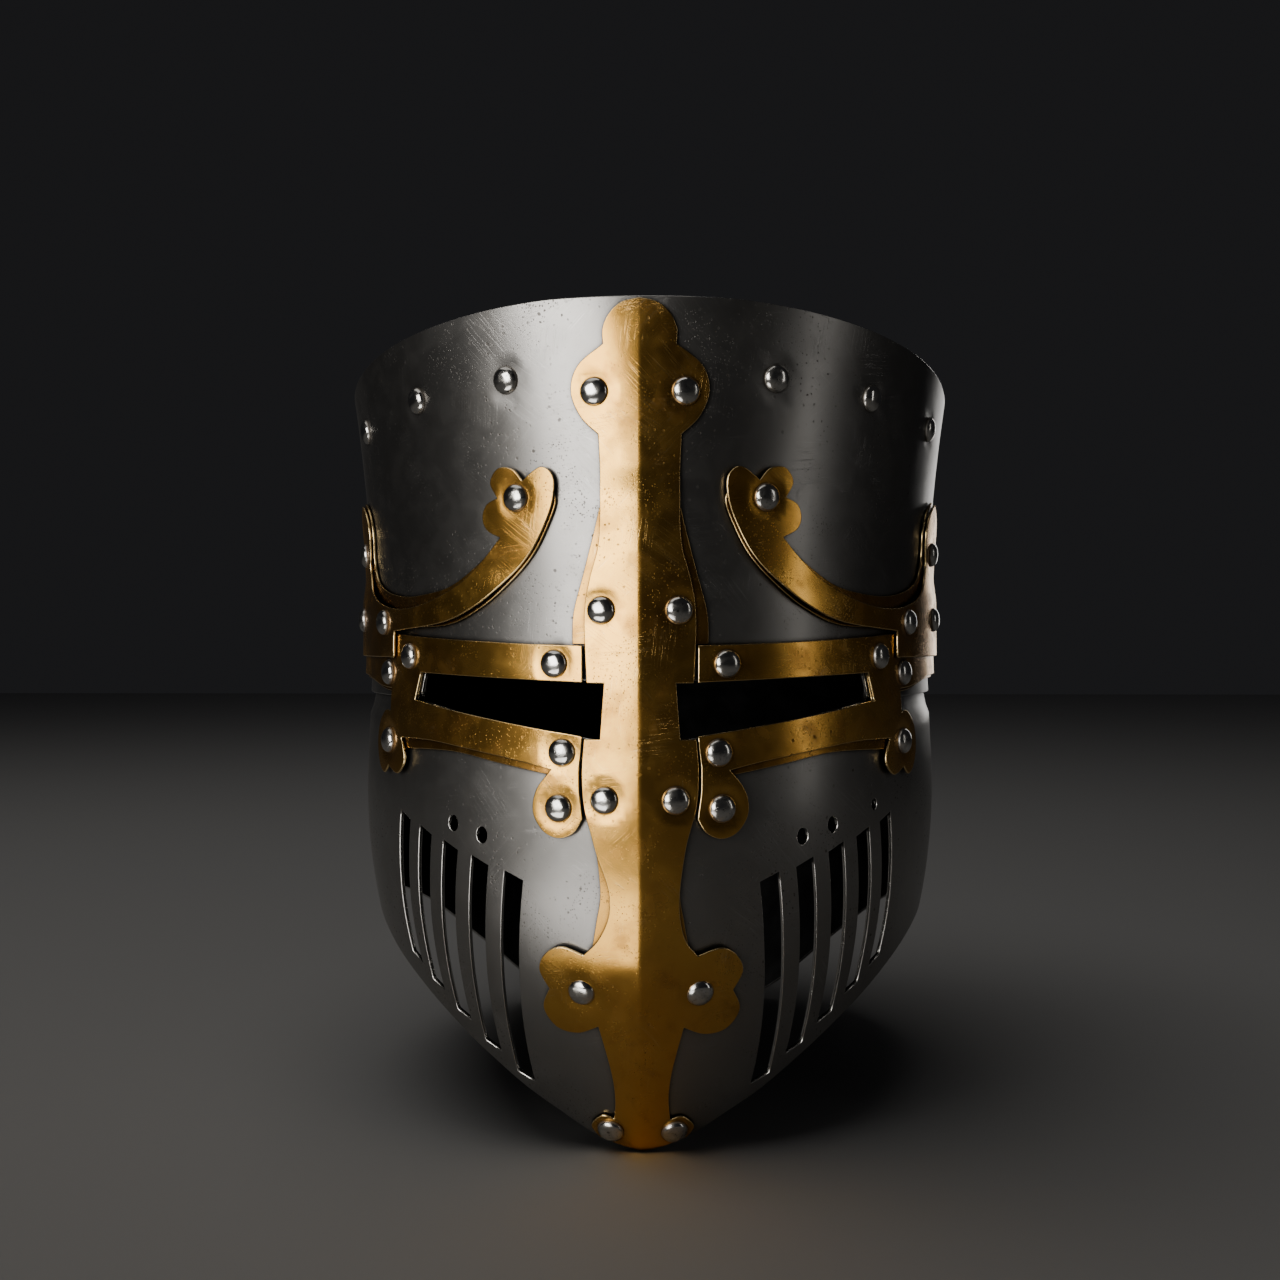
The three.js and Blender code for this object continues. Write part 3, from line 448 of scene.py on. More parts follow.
def polish_group():
    """Faint arcs and streaks of a polishing wheel, as a height from 0 to 1."""
    group, start, end = new_group(
        "polish marks",
        [("Where", "NodeSocketVector")],
        [("Height", "NodeSocketFloat"), ("Haze", "NodeSocketFloat")],
    )
    where = start.outputs["Where"]
    streaks = noise(group, where, 1.3, 3.0, 0.2, 14.0, 1.49)
    swirls = noise(group, where, 1.6, 3.0, 0.5, 10.0, 0.35)
    patches = noise(group, where, 44.0, 2.0, 0.6)
    share = remap(group, patches, 0.42, 0.62)
    mixed = node(group, "ShaderNodeMix", {0: share, 2: streaks, 3: swirls})
    group.links.new(mixed.outputs[0], end.inputs["Height"])
    small = noise(group, where, 9.0, 4.0, 0.4)
    large = noise(group, where, 33.0, 3.0, 0.3)
    haze = maths(group, "MULTIPLY", small, large)
    group.links.new(remap(group, haze, 0.12, 0.42), end.inputs["Haze"])
    return group


SCRATCHES = scratch_group()
PITS = pit_group()
POLISH = polish_group()


def tone_mix(tree, share, first, second):
    sockets = {0: share, 6: first, 7: second}
    return node(tree, "ShaderNodeMix", sockets, data_type="RGBA").outputs[2]


SHADE_AND_GRIME_REACH = 0.0026


def crevice_shade_and_grime(tree, share):
    """How much of a place is shut in by what lies within a few millimetres: painted shade, and some
    grime.
    """
    near = node(tree, "ShaderNodeAmbientOcclusion", {"Distance": SHADE_AND_GRIME_REACH}, samples=6)
    return remap(tree, near.outputs["AO"], 0.45, 0.93, share, 0.0)


def plate_steel():
    """Satin-polished mild steel. Its cut edges are lighter, as wear and as a painted highlight;
    its inner faces are near black, as fire-black steel and as painted shade inside.
    """
    material = bpy.data.materials.new("satin steel")
    material.use_nodes = True
    tree = material.node_tree
    surface = tree.nodes["Principled BSDF"]
    where = node(tree, "ShaderNodeUVMap", uv_map="pattern").outputs[0]
    edge = node(tree, "ShaderNodeAttribute", attribute_name="cut_edge").outputs["Fac"]
    lines = node(tree, "ShaderNodeGroup", {"Where": where, "Amount": 0.5}, node_tree=SCRATCHES)
    pits = node(tree, "ShaderNodeGroup", {"Where": where, "Amount": 1.0}, node_tree=PITS)
    polish = node(tree, "ShaderNodeGroup", {"Where": where}, node_tree=POLISH)
    cloud = noise(tree, where, 90.0, 3.0, 0.1)
    mottle = noise(tree, where, 15.0, 5.0, 0.2)
    light_steel, dull_steel = (0.290, 0.280, 0.264, 1), (0.262, 0.251, 0.234, 1)
    tone = tone_mix(tree, remap(tree, cloud, 0.36, 0.66), light_steel, dull_steel)
    tarnish = remap(tree, mottle, 0.52, 0.80, 0.0, 0.22)
    tone = tone_mix(tree, tarnish, tone, (0.17, 0.148, 0.124, 1))
    pitted = maths(tree, "MULTIPLY", pits.outputs[0], 0.85)
    tone = tone_mix(tree, pitted, tone, (0.045, 0.034, 0.026, 1))
    scratched = maths(tree, "MULTIPLY", lines.outputs[0], 0.42)
    tone = tone_mix(tree, scratched, tone, (0.62, 0.60, 0.57, 1))
    # Cut edges lighter: worn bare metal, and a painted highlight along the bevels.
    tone = tone_mix(tree, maths(tree, "MULTIPLY", edge, 0.8), tone, (0.74, 0.72, 0.68, 1))
    # Painted shade, with some grime, darkens the crevices by edges, layers and rivets.
    tone = tone_mix(tree, crevice_shade_and_grime(tree, 0.95), tone, (0.020, 0.015, 0.011, 1))
    # Inner faces near black: fire-black steel, and painted shade so the inside looks dark through
    # the slots.
    inner = node(tree, "ShaderNodeAttribute", attribute_name="inner_face").outputs["Fac"]
    scale = remap(tree, mottle, 0.35, 0.7, 0.022, 0.045)
    black = node(tree, "ShaderNodeCombineColor", {0: scale, 1: scale, 2: scale}).outputs[0]
    tone = tone_mix(tree, inner, tone, black)
    tree.links.new(tone, surface.inputs["Base Color"])
    rough = remap(tree, polish.outputs["Haze"], 0.0, 1.0, 0.31, 0.34)
    rough = maths(tree, "ADD", rough, maths(tree, "MULTIPLY", pits.outputs[0], 0.25))
    rough = maths(tree, "SUBTRACT", rough, maths(tree, "MULTIPLY", edge, 0.10), clamp=True)
    rough = maths(tree, "ADD", rough, maths(tree, "MULTIPLY", inner, 0.3), clamp=True)
    tree.links.new(rough, surface.inputs["Roughness"])
    surface.inputs["Metallic"].default_value = 1.0
    fine = maths(tree, "MULTIPLY", polish.outputs["Height"], 0.07)
    fine = maths(tree, "SUBTRACT", fine, maths(tree, "MULTIPLY", lines.outputs[0], 0.5))
    fine = maths(tree, "SUBTRACT", fine, maths(tree, "MULTIPLY", pits.outputs[0], 1.2))
    grain = noise(tree, where, 1.1, 2.0, 0.6)
    relief = maths(tree, "ADD", fine, maths(tree, "MULTIPLY", mottle, 0.12))
    relief = maths(tree, "ADD", relief, maths(tree, "MULTIPLY", grain, 0.10))
    bump = node(tree, "ShaderNodeBump", {"Height": relief, "Distance": 0.00006, "Strength": 0.55})
    tree.links.new(bump.outputs[0], surface.inputs["Normal"])
    return material


STEEL = plate_steel()


def smooth_line(rows, steps=8):
    """Points of an outline, smooth between corners, from rows of length, height and corner mark."""
    line, stretch = [], []
    for i, row in enumerate(rows):
        stretch.append(np.array(row[:2], float))
        if len(stretch) > 1 and (len(row) > 2 or i == len(rows) - 1):
            ends = [stretch[0], *stretch, stretch[-1]]
            count = steps if len(stretch) > 2 else 1
            for a, b, c, d in zip(ends, ends[1:], ends[2:], ends[3:]):
                for k in range(count):
                    t = k / count
                    cubic = (
                        -t + 2 * t * t - t**3,
                        2 - 5 * t * t + 3 * t**3,
                        t + 4 * t * t - 3 * t**3,
                        t**3 - t * t,
                    )
                    line.append(sum(w * p for w, p in zip(cubic, (a, b, c, d))) / 2)
            stretch = [stretch[-1]]
    line.append(stretch[-1])
    return line


SLIT_IN, SLIT_OUT = 12.4, 92.9
SLIT_OPEN_IN, SLIT_OPEN_OUT = 18.6, 10.2
SLIT_RISE = 6.9
SLIT_SLANT = 1.9


def slit_edge(start, margin, top, count=24):
    """Places along one edge of the right sight, set back from it by a margin."""
    stop = SLIT_OUT + margin + (-SLIT_SLANT if top else SLIT_SLANT)
    lengths = np.linspace(start, stop, count)
    share = np.clip((lengths - SLIT_IN) / (SLIT_OUT - SLIT_IN), 0, 1)
    opening = SLIT_OPEN_IN + (SLIT_OPEN_OUT - SLIT_OPEN_IN) * share
    heights = SIGHT_LEVEL + SLIT_RISE * share + (1 if top else -1) * (opening / 2 + margin)
    return list(zip(lengths, heights))


def rim_plane(y):
    return HELM_HEIGHT - RIM_FALL * (y + REACH)


def rim_at(turn):
    z = HELM_HEIGHT
    for _ in range(6):
        z = min(rim_plane(shell_point(turn, min(z, HELM_HEIGHT))[1]), HELM_HEIGHT)
    return z


def lower_edge(turn):
    away = np.array(min(abs(turn), 4 - abs(turn)))
    return HELM_HEIGHT * max(0.0, float(along(LOWER_EDGE, 1, away)))


def level_line(start, stop, height_at, count):
    return [(QUARTER * t, height_at(t)) for t in np.linspace(start, stop, count)]


def mirrored(half):
    return [(-x, z) for x, z in reversed(half)]


# Heights and quarter turns between which a plate bends in under the one that laps over it.
SEAM_BEND = (151.0, 159.0)
SIDE_BEND = (1.035, 1.075)


def seam_tuck(z):
    return -(STEEL_THICK + SHEET_GAP) * ramp(z, *SEAM_BEND)


def side_tuck(turn):
    return -(STEEL_THICK + SHEET_GAP) * (1 - ramp(turn, *SIDE_BEND))


NOSE_HALF = 10.0
PLATE_SETBACK = 0.6
SEAM_CLEAR, LAP_CLEAR = 0.4, 0.01
PLATE_GRID, REAR_GRID = 4.0, 5.0
brow_half = [
    (flat(NOSE_HALF, SIGHT_LEVEL)[0], SIGHT_LEVEL + SHEET_GAP),
    *[flat(*place) for place in slit_edge(NOSE_HALF, PLATE_SETBACK, True)],
    flat(SLIT_OUT + SLIT_SLANT, SEAM_HEIGHT),
    (QUARTER * FRONT_END, SEAM_HEIGHT),
]
brow_rim = level_line(FRONT_END, -FRONT_END, rim_at, 120)


def steel_sheet(name, stands_for, rings, grid, tuck_at):
    """A plate of the wall, bent in by a tuck where another laps over it."""

    def level_at(turn, z):
        return tuck_at(turn, z) - STEEL_THICK

    sheet_piece(name, stands_for, rings, STEEL_THICK, level_at, STEEL, grid)


steel_sheet(
    "brow_sheet",
    "brow_plate",
    [[*mirrored(brow_half), *brow_half, *brow_rim]],
    PLATE_GRID,
    lambda turn, z: 0 * z,
)


SLOT_COUNT, SLOT_FIRST, SLOT_STEP = 5, 48.8, 14.7
SLOT_HALF_WIDTH, SLOT_SLANT = 3.8, 1.5
SLOT_FOOT_BOW, SLOT_HEAD_BOW = 4.2, 2.6
SLOT_HEAD_DROP, SLOT_HEAD_STEP = 57.0, 4.0
SLOT_FOOT_RISE, SLOT_FOOT_LEVEL = 5.6, 30.0
HOLE_HALF_WIDTH, HOLE_HALF_HEIGHT = 2.4, 2.9
HOLES = [
    # length from the keel, depth below the sights, share of the full size
    (59.8, 44.0, 1.0),
    (73.8, 41.0, 1.0),
]
RIGHT_HOLE = (97.3, 35.8, 0.7)


def slot_ring(number, side):
    """One breathing slot: tall, bowed towards the keel at both ends, with slanting ends."""
    middle = SLOT_FIRST + SLOT_STEP * number
    head = SIGHT_LEVEL - SLOT_HEAD_DROP + SLOT_HEAD_STEP * number
    foot = SLOT_FOOT_RISE + lower_edge(turn_at(middle - SLOT_FOOT_BOW, SLOT_FOOT_LEVEL))
    edges = []
    for sign in (1, -1):
        edge = []
        for share in np.linspace(0, 1, 25):
            most = SLOT_FOOT_BOW if share < 0.5 else SLOT_HEAD_BOW
            bow = most * (1 - 2 * share) ** 2
            z = foot + (head - foot) * share + sign * SLOT_SLANT
            edge.append(flat(side * (middle - bow + sign * SLOT_HALF_WIDTH), z))
        edges.append(edge)
    return [*edges[0], *reversed(edges[1])]


def hole_ring(length, drop, share):
    wide, tall = share * HOLE_HALF_WIDTH, share * HOLE_HALF_HEIGHT
    z = SIGHT_LEVEL - drop
    angles = np.linspace(0, 2 * math.pi, 28, endpoint=False)
    return [flat(length + wide * math.cos(a), z + tall * math.sin(a)) for a in angles]


breaths = [slot_ring(number, side) for side in (-1, 1) for number in range(SLOT_COUNT)]
for side in (-1, 1):
    breaths += [hole_ring(side * length, drop, share) for length, drop, share in HOLES]
breaths.append(hole_ring(*RIGHT_HOLE))
face_half = [
    (flat(NOSE_HALF, SIGHT_LEVEL)[0], SIGHT_LEVEL - SHEET_GAP),
    *[flat(*place) for place in slit_edge(NOSE_HALF + PLATE_SETBACK, PLATE_SETBACK, False)],
    flat(SLIT_OUT + SLIT_SLANT + 2, SEAM_HEIGHT + LAP),
    (QUARTER * (BACK_START - LAP_CLEAR), SEAM_HEIGHT + LAP),
    (QUARTER * (BACK_START - LAP_CLEAR), SEAM_HEIGHT - SEAM_CLEAR),
    (QUARTER * FRONT_END, SEAM_HEIGHT - SEAM_CLEAR),
]
face_foot = level_line(FRONT_END, -FRONT_END, lower_edge, 160)
steel_sheet(
    "face_sheet",
    "face_plate",
    [[*mirrored(face_half), *face_half, *face_foot], *breaths],
    PLATE_GRID,
    lambda turn, z: seam_tuck(z),
)
steel_sheet(
    "rear_upper_sheet",
    "back_upper_plate",
    [[
        *level_line(BACK_START, 4 - BACK_START, lambda turn: SEAM_HEIGHT, 140),
        *level_line(4 - BACK_START, BACK_START, lambda turn: rim_at(min(turn, 4 - turn)), 140),
    ]],
    REAR_GRID,
    lambda turn, z: side_tuck(turn),
)
steel_sheet(
    "rear_lower_sheet",
    "back_lower_plate",
    [[
        *level_line(BACK_START, 4 - BACK_START, lower_edge, 160),
        *level_line(4 - BACK_START, BACK_START, lambda turn: SEAM_HEIGHT + LAP, 140),
    ]],
    REAR_GRID,
    lambda turn, z: side_tuck(turn) + seam_tuck(z),
)

# Crown plate
# The flat top, one steel sheet with its rim turned down inside the walls, where the crown row of
# rivets holds it.
CROWN_INSET, CROWN_FLANGE, CROWN_CLEAR = 1.2, 34.0, 1.0
CROWN_BEND = 3.0
CROWN_DROPS = (CROWN_FLANGE, 24.0, 14.0, 8.0)
CROWN_STEPS = 288


def crown_ring(drop, inward):
    """Ring inside the walls at a drop below the rim, drawn in by a distance."""
    turns = np.linspace(0, 4, CROWN_STEPS, endpoint=False)
    turns = np.where(turns > 2, turns - 4, turns)
    away = np.abs(turns)
    tuck = ramp(away, 0.80, 0.90) * (1 - ramp(away, 1.1, 1.2))
    offset = -STEEL_THICK - CROWN_CLEAR - (STEEL_THICK + SHEET_GAP) * tuck - inward
    z = np.array([rim_at(t) for t in turns]) - drop
    places = shell_point(turns, z) + shell_normal(turns, z) * offset[:, None]
    places[:, 2] = rim_plane(places[:, 1]) - drop
    return places + ROW_SHIFT


def crown_piece(name, stands_for):
    count = CROWN_STEPS
    rings = [crown_ring(CROWN_INSET + drop, 0.0) for drop in CROWN_DROPS]
    for angle in np.linspace(0, math.pi / 2, 7):
        drop = CROWN_BEND * (1 - math.sin(angle))
        rings.append(crown_ring(CROWN_INSET + drop, CROWN_BEND * (1 - math.cos(angle))))
    top = rings[-1]
    middle = np.array([0.0, ROW_SHIFT[1], rim_plane(0.0) - CROWN_INSET])
    shares = (0.97, 0.92, 0.84, 0.74, 0.62, 0.5, 0.38, 0.26, 0.14, 0.04)
    rings += [middle + (top - middle) * share for share in shares]
    outer = len(rings)
    drops = (CROWN_FLANGE, CROWN_DROPS[-1], CROWN_BEND)
    inner = [crown_ring(CROWN_INSET + drop, STEEL_THICK) for drop in drops]
    below = crown_ring(CROWN_INSET + STEEL_THICK, CROWN_BEND + 0.4)
    lower_middle = middle - np.array([0, 0, STEEL_THICK])
    inner.append(below)
    inner += [lower_middle + (below - lower_middle) * share for share in (0.6, 0.04)]
    places = np.concatenate([*rings, [middle], *inner, [lower_middle]])
    faces = []

    def band(first, second, flip):
        for i in range(count):
            k = (i + 1) % count
            quad = (first + i, first + k, second + k, second + i)
            faces.append(quad[::-1] if flip else quad)

    for ring in range(outer - 1):
        band(ring * count, (ring + 1) * count, False)
    hub = outer * count
    edge = hub - count
    faces += [(edge + i, edge + (i + 1) % count, hub) for i in range(count)]
    start = hub + 1
    for ring in range(len(inner) - 1):
        band(start + ring * count, start + (ring + 1) * count, True)
    last = start + (len(inner) - 1) * count
    low_hub = len(places) - 1
    faces += [(last + (i + 1) % count, last + i, low_hub) for i in range(count)]
    band(start, 0, False)
    mesh = bpy.data.meshes.new(name)
    mesh.from_pydata((places / 1000).tolist(), [], faces)
    map_pattern(mesh, places[:, :2])
    mesh.polygons.foreach_set("use_smooth", [True] * len(mesh.polygons))
    mesh.materials.append(STEEL)
    inner_face = mesh.attributes.new("inner_face", "FLOAT", "POINT")
    inner_face.data.foreach_set("value", (np.arange(len(places)) > hub).astype(float))
    mesh.validate()
    piece = bpy.data.objects.new(name, mesh)
    bpy.context.scene.collection.objects.link(piece)
    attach(piece, "root")
    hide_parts(stands_for)


crown_piece("crown_sheet", "crown_plate")

# Keel bar
# A bar of yellow brass sheet down the keel, its head round and its foot forked, riveted through a
# thin layer of the same brass that is cut a little wider and shows beside it.
BAR_REACH = 35.0
BRASS_THICK = 1.0
BRASS_GRID, UNDER_GRID = 2.0, 4.0
BRASS_ROUNDING = 0.36
BRASS_STEP = BRASS_THICK + SHEET_GAP
FIRST_LAYER = SHEET_GAP
SECOND_LAYER = FIRST_LAYER + BRASS_STEP
THIRD_LAYER = SECOND_LAYER + BRASS_STEP
BAR_AT_SLIT = 18.5
SLIT_LEAN, TOP_NARROWING = 0.7, 0.9
WAIST, WAIST_FLAT, WAIST_END = 0.6, 2.0, 20.0
# Heights between which the bar bends down from its under layer to the steel.
LOW_BEND, HIGH_BEND = (54.0, 75.0), (229.0, 241.0)
C = "corner"


def polished_brass(name, bright, deep, stained):
    """Brass with brown patina in drifts, scratches and specks, and lighter edges: wear and painted
    highlight.
    """
    material = bpy.data.materials.new(name)
    material.use_nodes = True
    tree = material.node_tree
    surface = tree.nodes["Principled BSDF"]
    where = node(tree, "ShaderNodeUVMap", uv_map="pattern").outputs[0]
    edge = node(tree, "ShaderNodeAttribute", attribute_name="cut_edge").outputs["Fac"]
    lines = node(tree, "ShaderNodeGroup", {"Where": where, "Amount": 0.6}, node_tree=SCRATCHES)
    pits = node(tree, "ShaderNodeGroup", {"Where": where, "Amount": 1.0}, node_tree=PITS)
    polish = node(tree, "ShaderNodeGroup", {"Where": where}, node_tree=POLISH)
    cloud = noise(tree, where, 41.0, 4.0, 0.3)
    stain = noise(tree, where, 12.0, 6.0, 0.3)
    tone = tone_mix(tree, remap(tree, cloud, 0.38, 0.64), bright, deep)
    patina = remap(tree, stain, 0.48, 0.74, 0.0, 0.55)
    tone = tone_mix(tree, patina, tone, stained)
    pitted = maths(tree, "MULTIPLY", pits.outputs[0], 0.8)
    tone = tone_mix(tree, pitted, tone, (0.09, 0.052, 0.02, 1))
    scratched = maths(tree, "MULTIPLY", lines.outputs[0], 0.4)
    tone = tone_mix(tree, scratched, tone, (0.93, 0.75, 0.42, 1))
    # Cut edges lighter: worn bare metal, and a painted highlight along the bevels.
    tone = tone_mix(tree, maths(tree, "MULTIPLY", edge, 0.9), tone, (0.94, 0.72, 0.36, 1))
    # Painted shade, with some grime, darkens the crevices by edges, layers and rivets.
    tone = tone_mix(tree, crevice_shade_and_grime(tree, 0.95), tone, (0.045, 0.022, 0.008, 1))
    tree.links.new(tone, surface.inputs["Base Color"])
    rough = remap(tree, polish.outputs["Haze"], 0.0, 1.0, 0.21, 0.27)
    rough = maths(tree, "ADD", rough, maths(tree, "MULTIPLY", patina, 0.12))
    rough = maths(tree, "ADD", rough, maths(tree, "MULTIPLY", pits.outputs[0], 0.2), clamp=True)
    tree.links.new(rough, surface.inputs["Roughness"])
    surface.inputs["Metallic"].default_value = 1.0
    fine = maths(tree, "MULTIPLY", polish.outputs["Height"], 0.07)
    fine = maths(tree, "SUBTRACT", fine, maths(tree, "MULTIPLY", lines.outputs[0], 0.5))
    fine = maths(tree, "SUBTRACT", fine, maths(tree, "MULTIPLY", pits.outputs[0], 1.1))
    relief = maths(tree, "ADD", fine, noise(tree, where, 8.0, 3.0, 0.2))
    bump = node(tree, "ShaderNodeBump", {"Height": relief, "Distance": 0.00006, "Strength": 0.5})
    tree.links.new(bump.outputs[0], surface.inputs["Normal"])
    return material


BRASS = polished_brass(
    "polished brass",
    bright=(0.77, 0.425, 0.086, 1),
    deep=(0.67, 0.348, 0.066, 1),
    stained=(0.34, 0.150, 0.034, 1),
)
# A darker, slightly coppery copy of the brass: painted shade on the under layers beside the upper
# sheets.
SHADED_UNDER_BRASS = polished_brass(
    "shaded under brass",
    bright=(0.56, 0.295, 0.062, 1),
    deep=(0.47, 0.235, 0.047, 1),
    stained=(0.24, 0.100, 0.022, 1),
)
BAR_FOOT = [
    (0.000, 0.008, C), (0.271, 0.021), (0.446, 0.035, C), (0.526, 0.066), (0.406, 0.096),
    (0.280, 0.090, C), (0.266, 0.152), (0.306, 0.221), (0.417, 0.320, C), (0.629, 0.301),
    (0.857, 0.311), (0.994, 0.354), (0.914, 0.401, C), (1.009, 0.445), (0.929, 0.483),
    (0.771, 0.499), (0.543, 0.485, C), (0.417, 0.524), (0.366, 0.600), (0.426, 0.711),
    (0.526, 0.796), (0.551, 0.872),
]
BAR_HEAD = [
    (0.526, 1.232), (0.474, 1.320), (0.386, 1.407), (0.371, 1.525), (0.394, 1.672, C),
    (0.566, 1.715), (0.663, 1.777), (0.591, 1.839), (0.346, 1.887, C), (0.349, 1.923),
    (0.286, 1.959), (0.166, 1.985), (0.000, 1.994, C),
]
BAR_BACKING_FOOT = [
    (0.000, 0.474, C), (0.471, 0.490, C), (0.420, 0.556), (0.380, 0.619), (0.429, 0.720),
    (0.486, 0.783, C),
]
BAR_BACKING_HEAD = [
    (0.486, 1.162, C), (0.657, 1.163, C), (0.646, 1.239), (0.549, 1.331), (0.446, 1.429),
    (0.386, 1.495, C), (0.000, 1.495, C),
]


def bar_height(up):
    """Height of a row: up to 1 at the sights' level, up to 2 at the rim."""
    return up * SIGHT_LEVEL if up < 1 else SIGHT_LEVEL + (up - 1) * (HELM_HEIGHT - SIGHT_LEVEL)


def bar_ring(foot, head, margin, narrowing):
    """Closed outline of the bar from the rows of its right half, narrower at its left waist."""
    half_slit = SLIT_OPEN_IN / 2 + margin
    rows = [(across * BAR_REACH, bar_height(up), *mark) for across, up, *mark in foot]
    rows += [
        (BAR_AT_SLIT - margin, SIGHT_LEVEL - half_slit, C),
        (SLIT_IN + SLIT_LEAN - margin, SIGHT_LEVEL - half_slit, C),
        (SLIT_IN - SLIT_LEAN - margin, SIGHT_LEVEL + half_slit, C),
        (BAR_AT_SLIT - TOP_NARROWING - margin, SIGHT_LEVEL + half_slit, C),
    ]
    rows += [(across * BAR_REACH, bar_height(up), *mark) for across, up, *mark in head]
    line = smooth_line(rows)
    waist = bar_height(WAIST)
    left = []
    for x, z in reversed(line[1:-1]):
        share = float(1 - ramp(abs(z - waist), WAIST_FLAT, WAIST_END))
        left.append((-x + narrowing * share, z))
    return [flat(x, z) for x, z in [*line, *left]]


def bar_level(turn, z):
    return FIRST_LAYER + BRASS_STEP * ramp(z, *LOW_BEND) * (1 - ramp(z, *HIGH_BEND))


def brass_sheet(name, stands_for, ring, level_at=None):
    """A sheet of the cross at a level over the steel, or else of the layer right on the steel."""
    # The layer right on the steel takes the darker brass, as painted shade.
    look = (BRASS, BRASS_GRID, BRASS_ROUNDING) if level_at else (SHADED_UNDER_BRASS, UNDER_GRID)
    level_at = level_at or (lambda turn, z: FIRST_LAYER + 0 * z)
    sheet_piece(name, stands_for, [ring], BRASS_THICK, level_at, *look)


bar = bar_ring(BAR_FOOT, BAR_HEAD, margin=0.0, narrowing=3.0)
brass_sheet("keel_bar_sheet", "keel_bar", bar, bar_level)
bar_backing = bar_ring(BAR_BACKING_FOOT, BAR_BACKING_HEAD, margin=1.0, narrowing=0.0)
brass_sheet("keel_under_sheet", "keel_bar_backing", bar_backing)

# Sight frames
# A brass frame riveted round each eye slit, with a tab by the nose and a lobed end below its outer
# corner, over an under layer that shows along its lower edge.
ARM_REACH, ARM_DEPTH = 115.0, 27.0
FRAME_EDGE = [
    (0.166, 0.811, C), (0.400, 0.841), (0.800, 0.922), (0.948, 0.959), (1.304, 0.959),
    (1.722, 0.959, C), (1.743, 0.656), (1.722, 0.359, C), (1.304, 0.352), (1.087, 0.233),
    (0.991, 0.204, C), (0.997, -0.115, C), (1.042, -0.107), (1.096, -0.300), (1.111, -0.585),
    (1.083, -0.863), (1.038, -0.978), (1.002, -0.867, C), (0.930, -0.956), (0.882, -0.752),
    (0.909, -0.456, C), (0.730, -0.456), (0.557, -0.530), (0.374, -0.641),
    (0.263, -0.737, C), (0.310, -0.993), (0.320, -1.270), (0.287, -1.500), (0.237, -1.578),
    (0.191, -1.500), (0.164, -1.326, C), (0.174, -1.011), (0.175, -0.678),
]
FRAME_UNDER_EDGE = [
    (0.209, 0.774, C), (0.522, 0.833, C), (0.948, 0.922, C), (1.696, 0.922, C),
    (1.696, 0.307, C), (1.304, 0.307), (1.087, 0.189), (0.983, 0.159, C),
    (0.983, -0.215, C), (1.035, -0.204), (1.085, -0.456), (1.070, -0.733),
    (1.030, -0.844, C), (0.983, -0.774, C), (0.883, -0.596, C), (0.635, -0.578),
    (0.435, -0.696), (0.261, -0.811, C), (0.296, -1.011), (0.301, -1.252), (0.270, -1.448),
    (0.209, -1.448, C),
]


def frame_ring(rows, margin, start, side):
    """Outline of a frame with its slit, joined into one ring at the keel's side."""
    rows = [(across * ARM_REACH, SIGHT_LEVEL + up * ARM_DEPTH, *mark) for across, up, *mark in rows]
    outer = smooth_line(rows)
    slit = [*slit_edge(start, margin, False), *reversed(slit_edge(start, margin, True))]
    return [flat(side * x, z) for x, z in [*outer, *slit]]


def frame_level(turn, z):
    return SECOND_LAYER + 0 * z


for word, side in (("left", -1), ("right", 1)):
    upper = frame_ring(FRAME_EDGE, margin=0.0, start=BAR_AT_SLIT + 0.5, side=side)
    brass_sheet(f"sight_sheet_{word}", f"sight_frame_{word}", upper, frame_level)
    under = frame_ring(FRAME_UNDER_EDGE, margin=0.7, start=BAR_AT_SLIT + 5.5, side=side)
    brass_sheet(f"sight_under_{word}", f"sight_backing_{word}", under)

# Horned ends
# The brass arms of the cross end in a pair of horns on each side of the helm, in two layers like
# the frames. The upper layer's stem laps over the frame's arm and is riveted to it.
HORN_AXIS, HORN_REACH = 157.0, 128.0
STEM_BOTTOM = SIGHT_LEVEL + 17.2
HORN_HEIGHT = 0.483 * (HELM_HEIGHT - SIGHT_LEVEL)
HORN_BEND = (196.0, 208.0)
HORN_EDGE = [
    (0.000, 0.000, C), (0.371, 0.000, C), (0.371, 0.148, C), (0.617, 0.189),
    (0.750, 0.273), (0.852, 0.402), (0.926, 0.538), (0.973, 0.689), (0.997, 0.818), (0.997, 0.932),
    (0.961, 0.982), (0.906, 0.917, C), (0.877, 0.979), (0.830, 0.988), (0.804, 0.917),
    (0.826, 0.836, C), (0.789, 0.803), (0.776, 0.735), (0.791, 0.671), (0.834, 0.629, C),
    (0.773, 0.515), (0.688, 0.394), (0.562, 0.306), (0.422, 0.273), (0.273, 0.303), (0.152, 0.391),
    (0.094, 0.523), (0.103, 0.652), (0.102, 0.758), (0.062, 0.856), (0.000, 0.917, C),
]
HORN_UNDER_EDGE = [
    (0.000, 0.170, C), (0.375, 0.170, C), (0.617, 0.177), (0.752, 0.262), (0.855, 0.392),
    (0.930, 0.530), (0.978, 0.685), (1.001, 0.818), (0.969, 0.909, C), (0.859, 0.879, C),
    (0.812, 0.712, C), (0.828, 0.614, C), (0.742, 0.488), (0.648, 0.394), (0.547, 0.355),
    (0.406, 0.342), (0.258, 0.382), (0.156, 0.455), (0.113, 0.576), (0.111, 0.742), (0.067, 0.870),
    (0.000, 0.930, C),
]


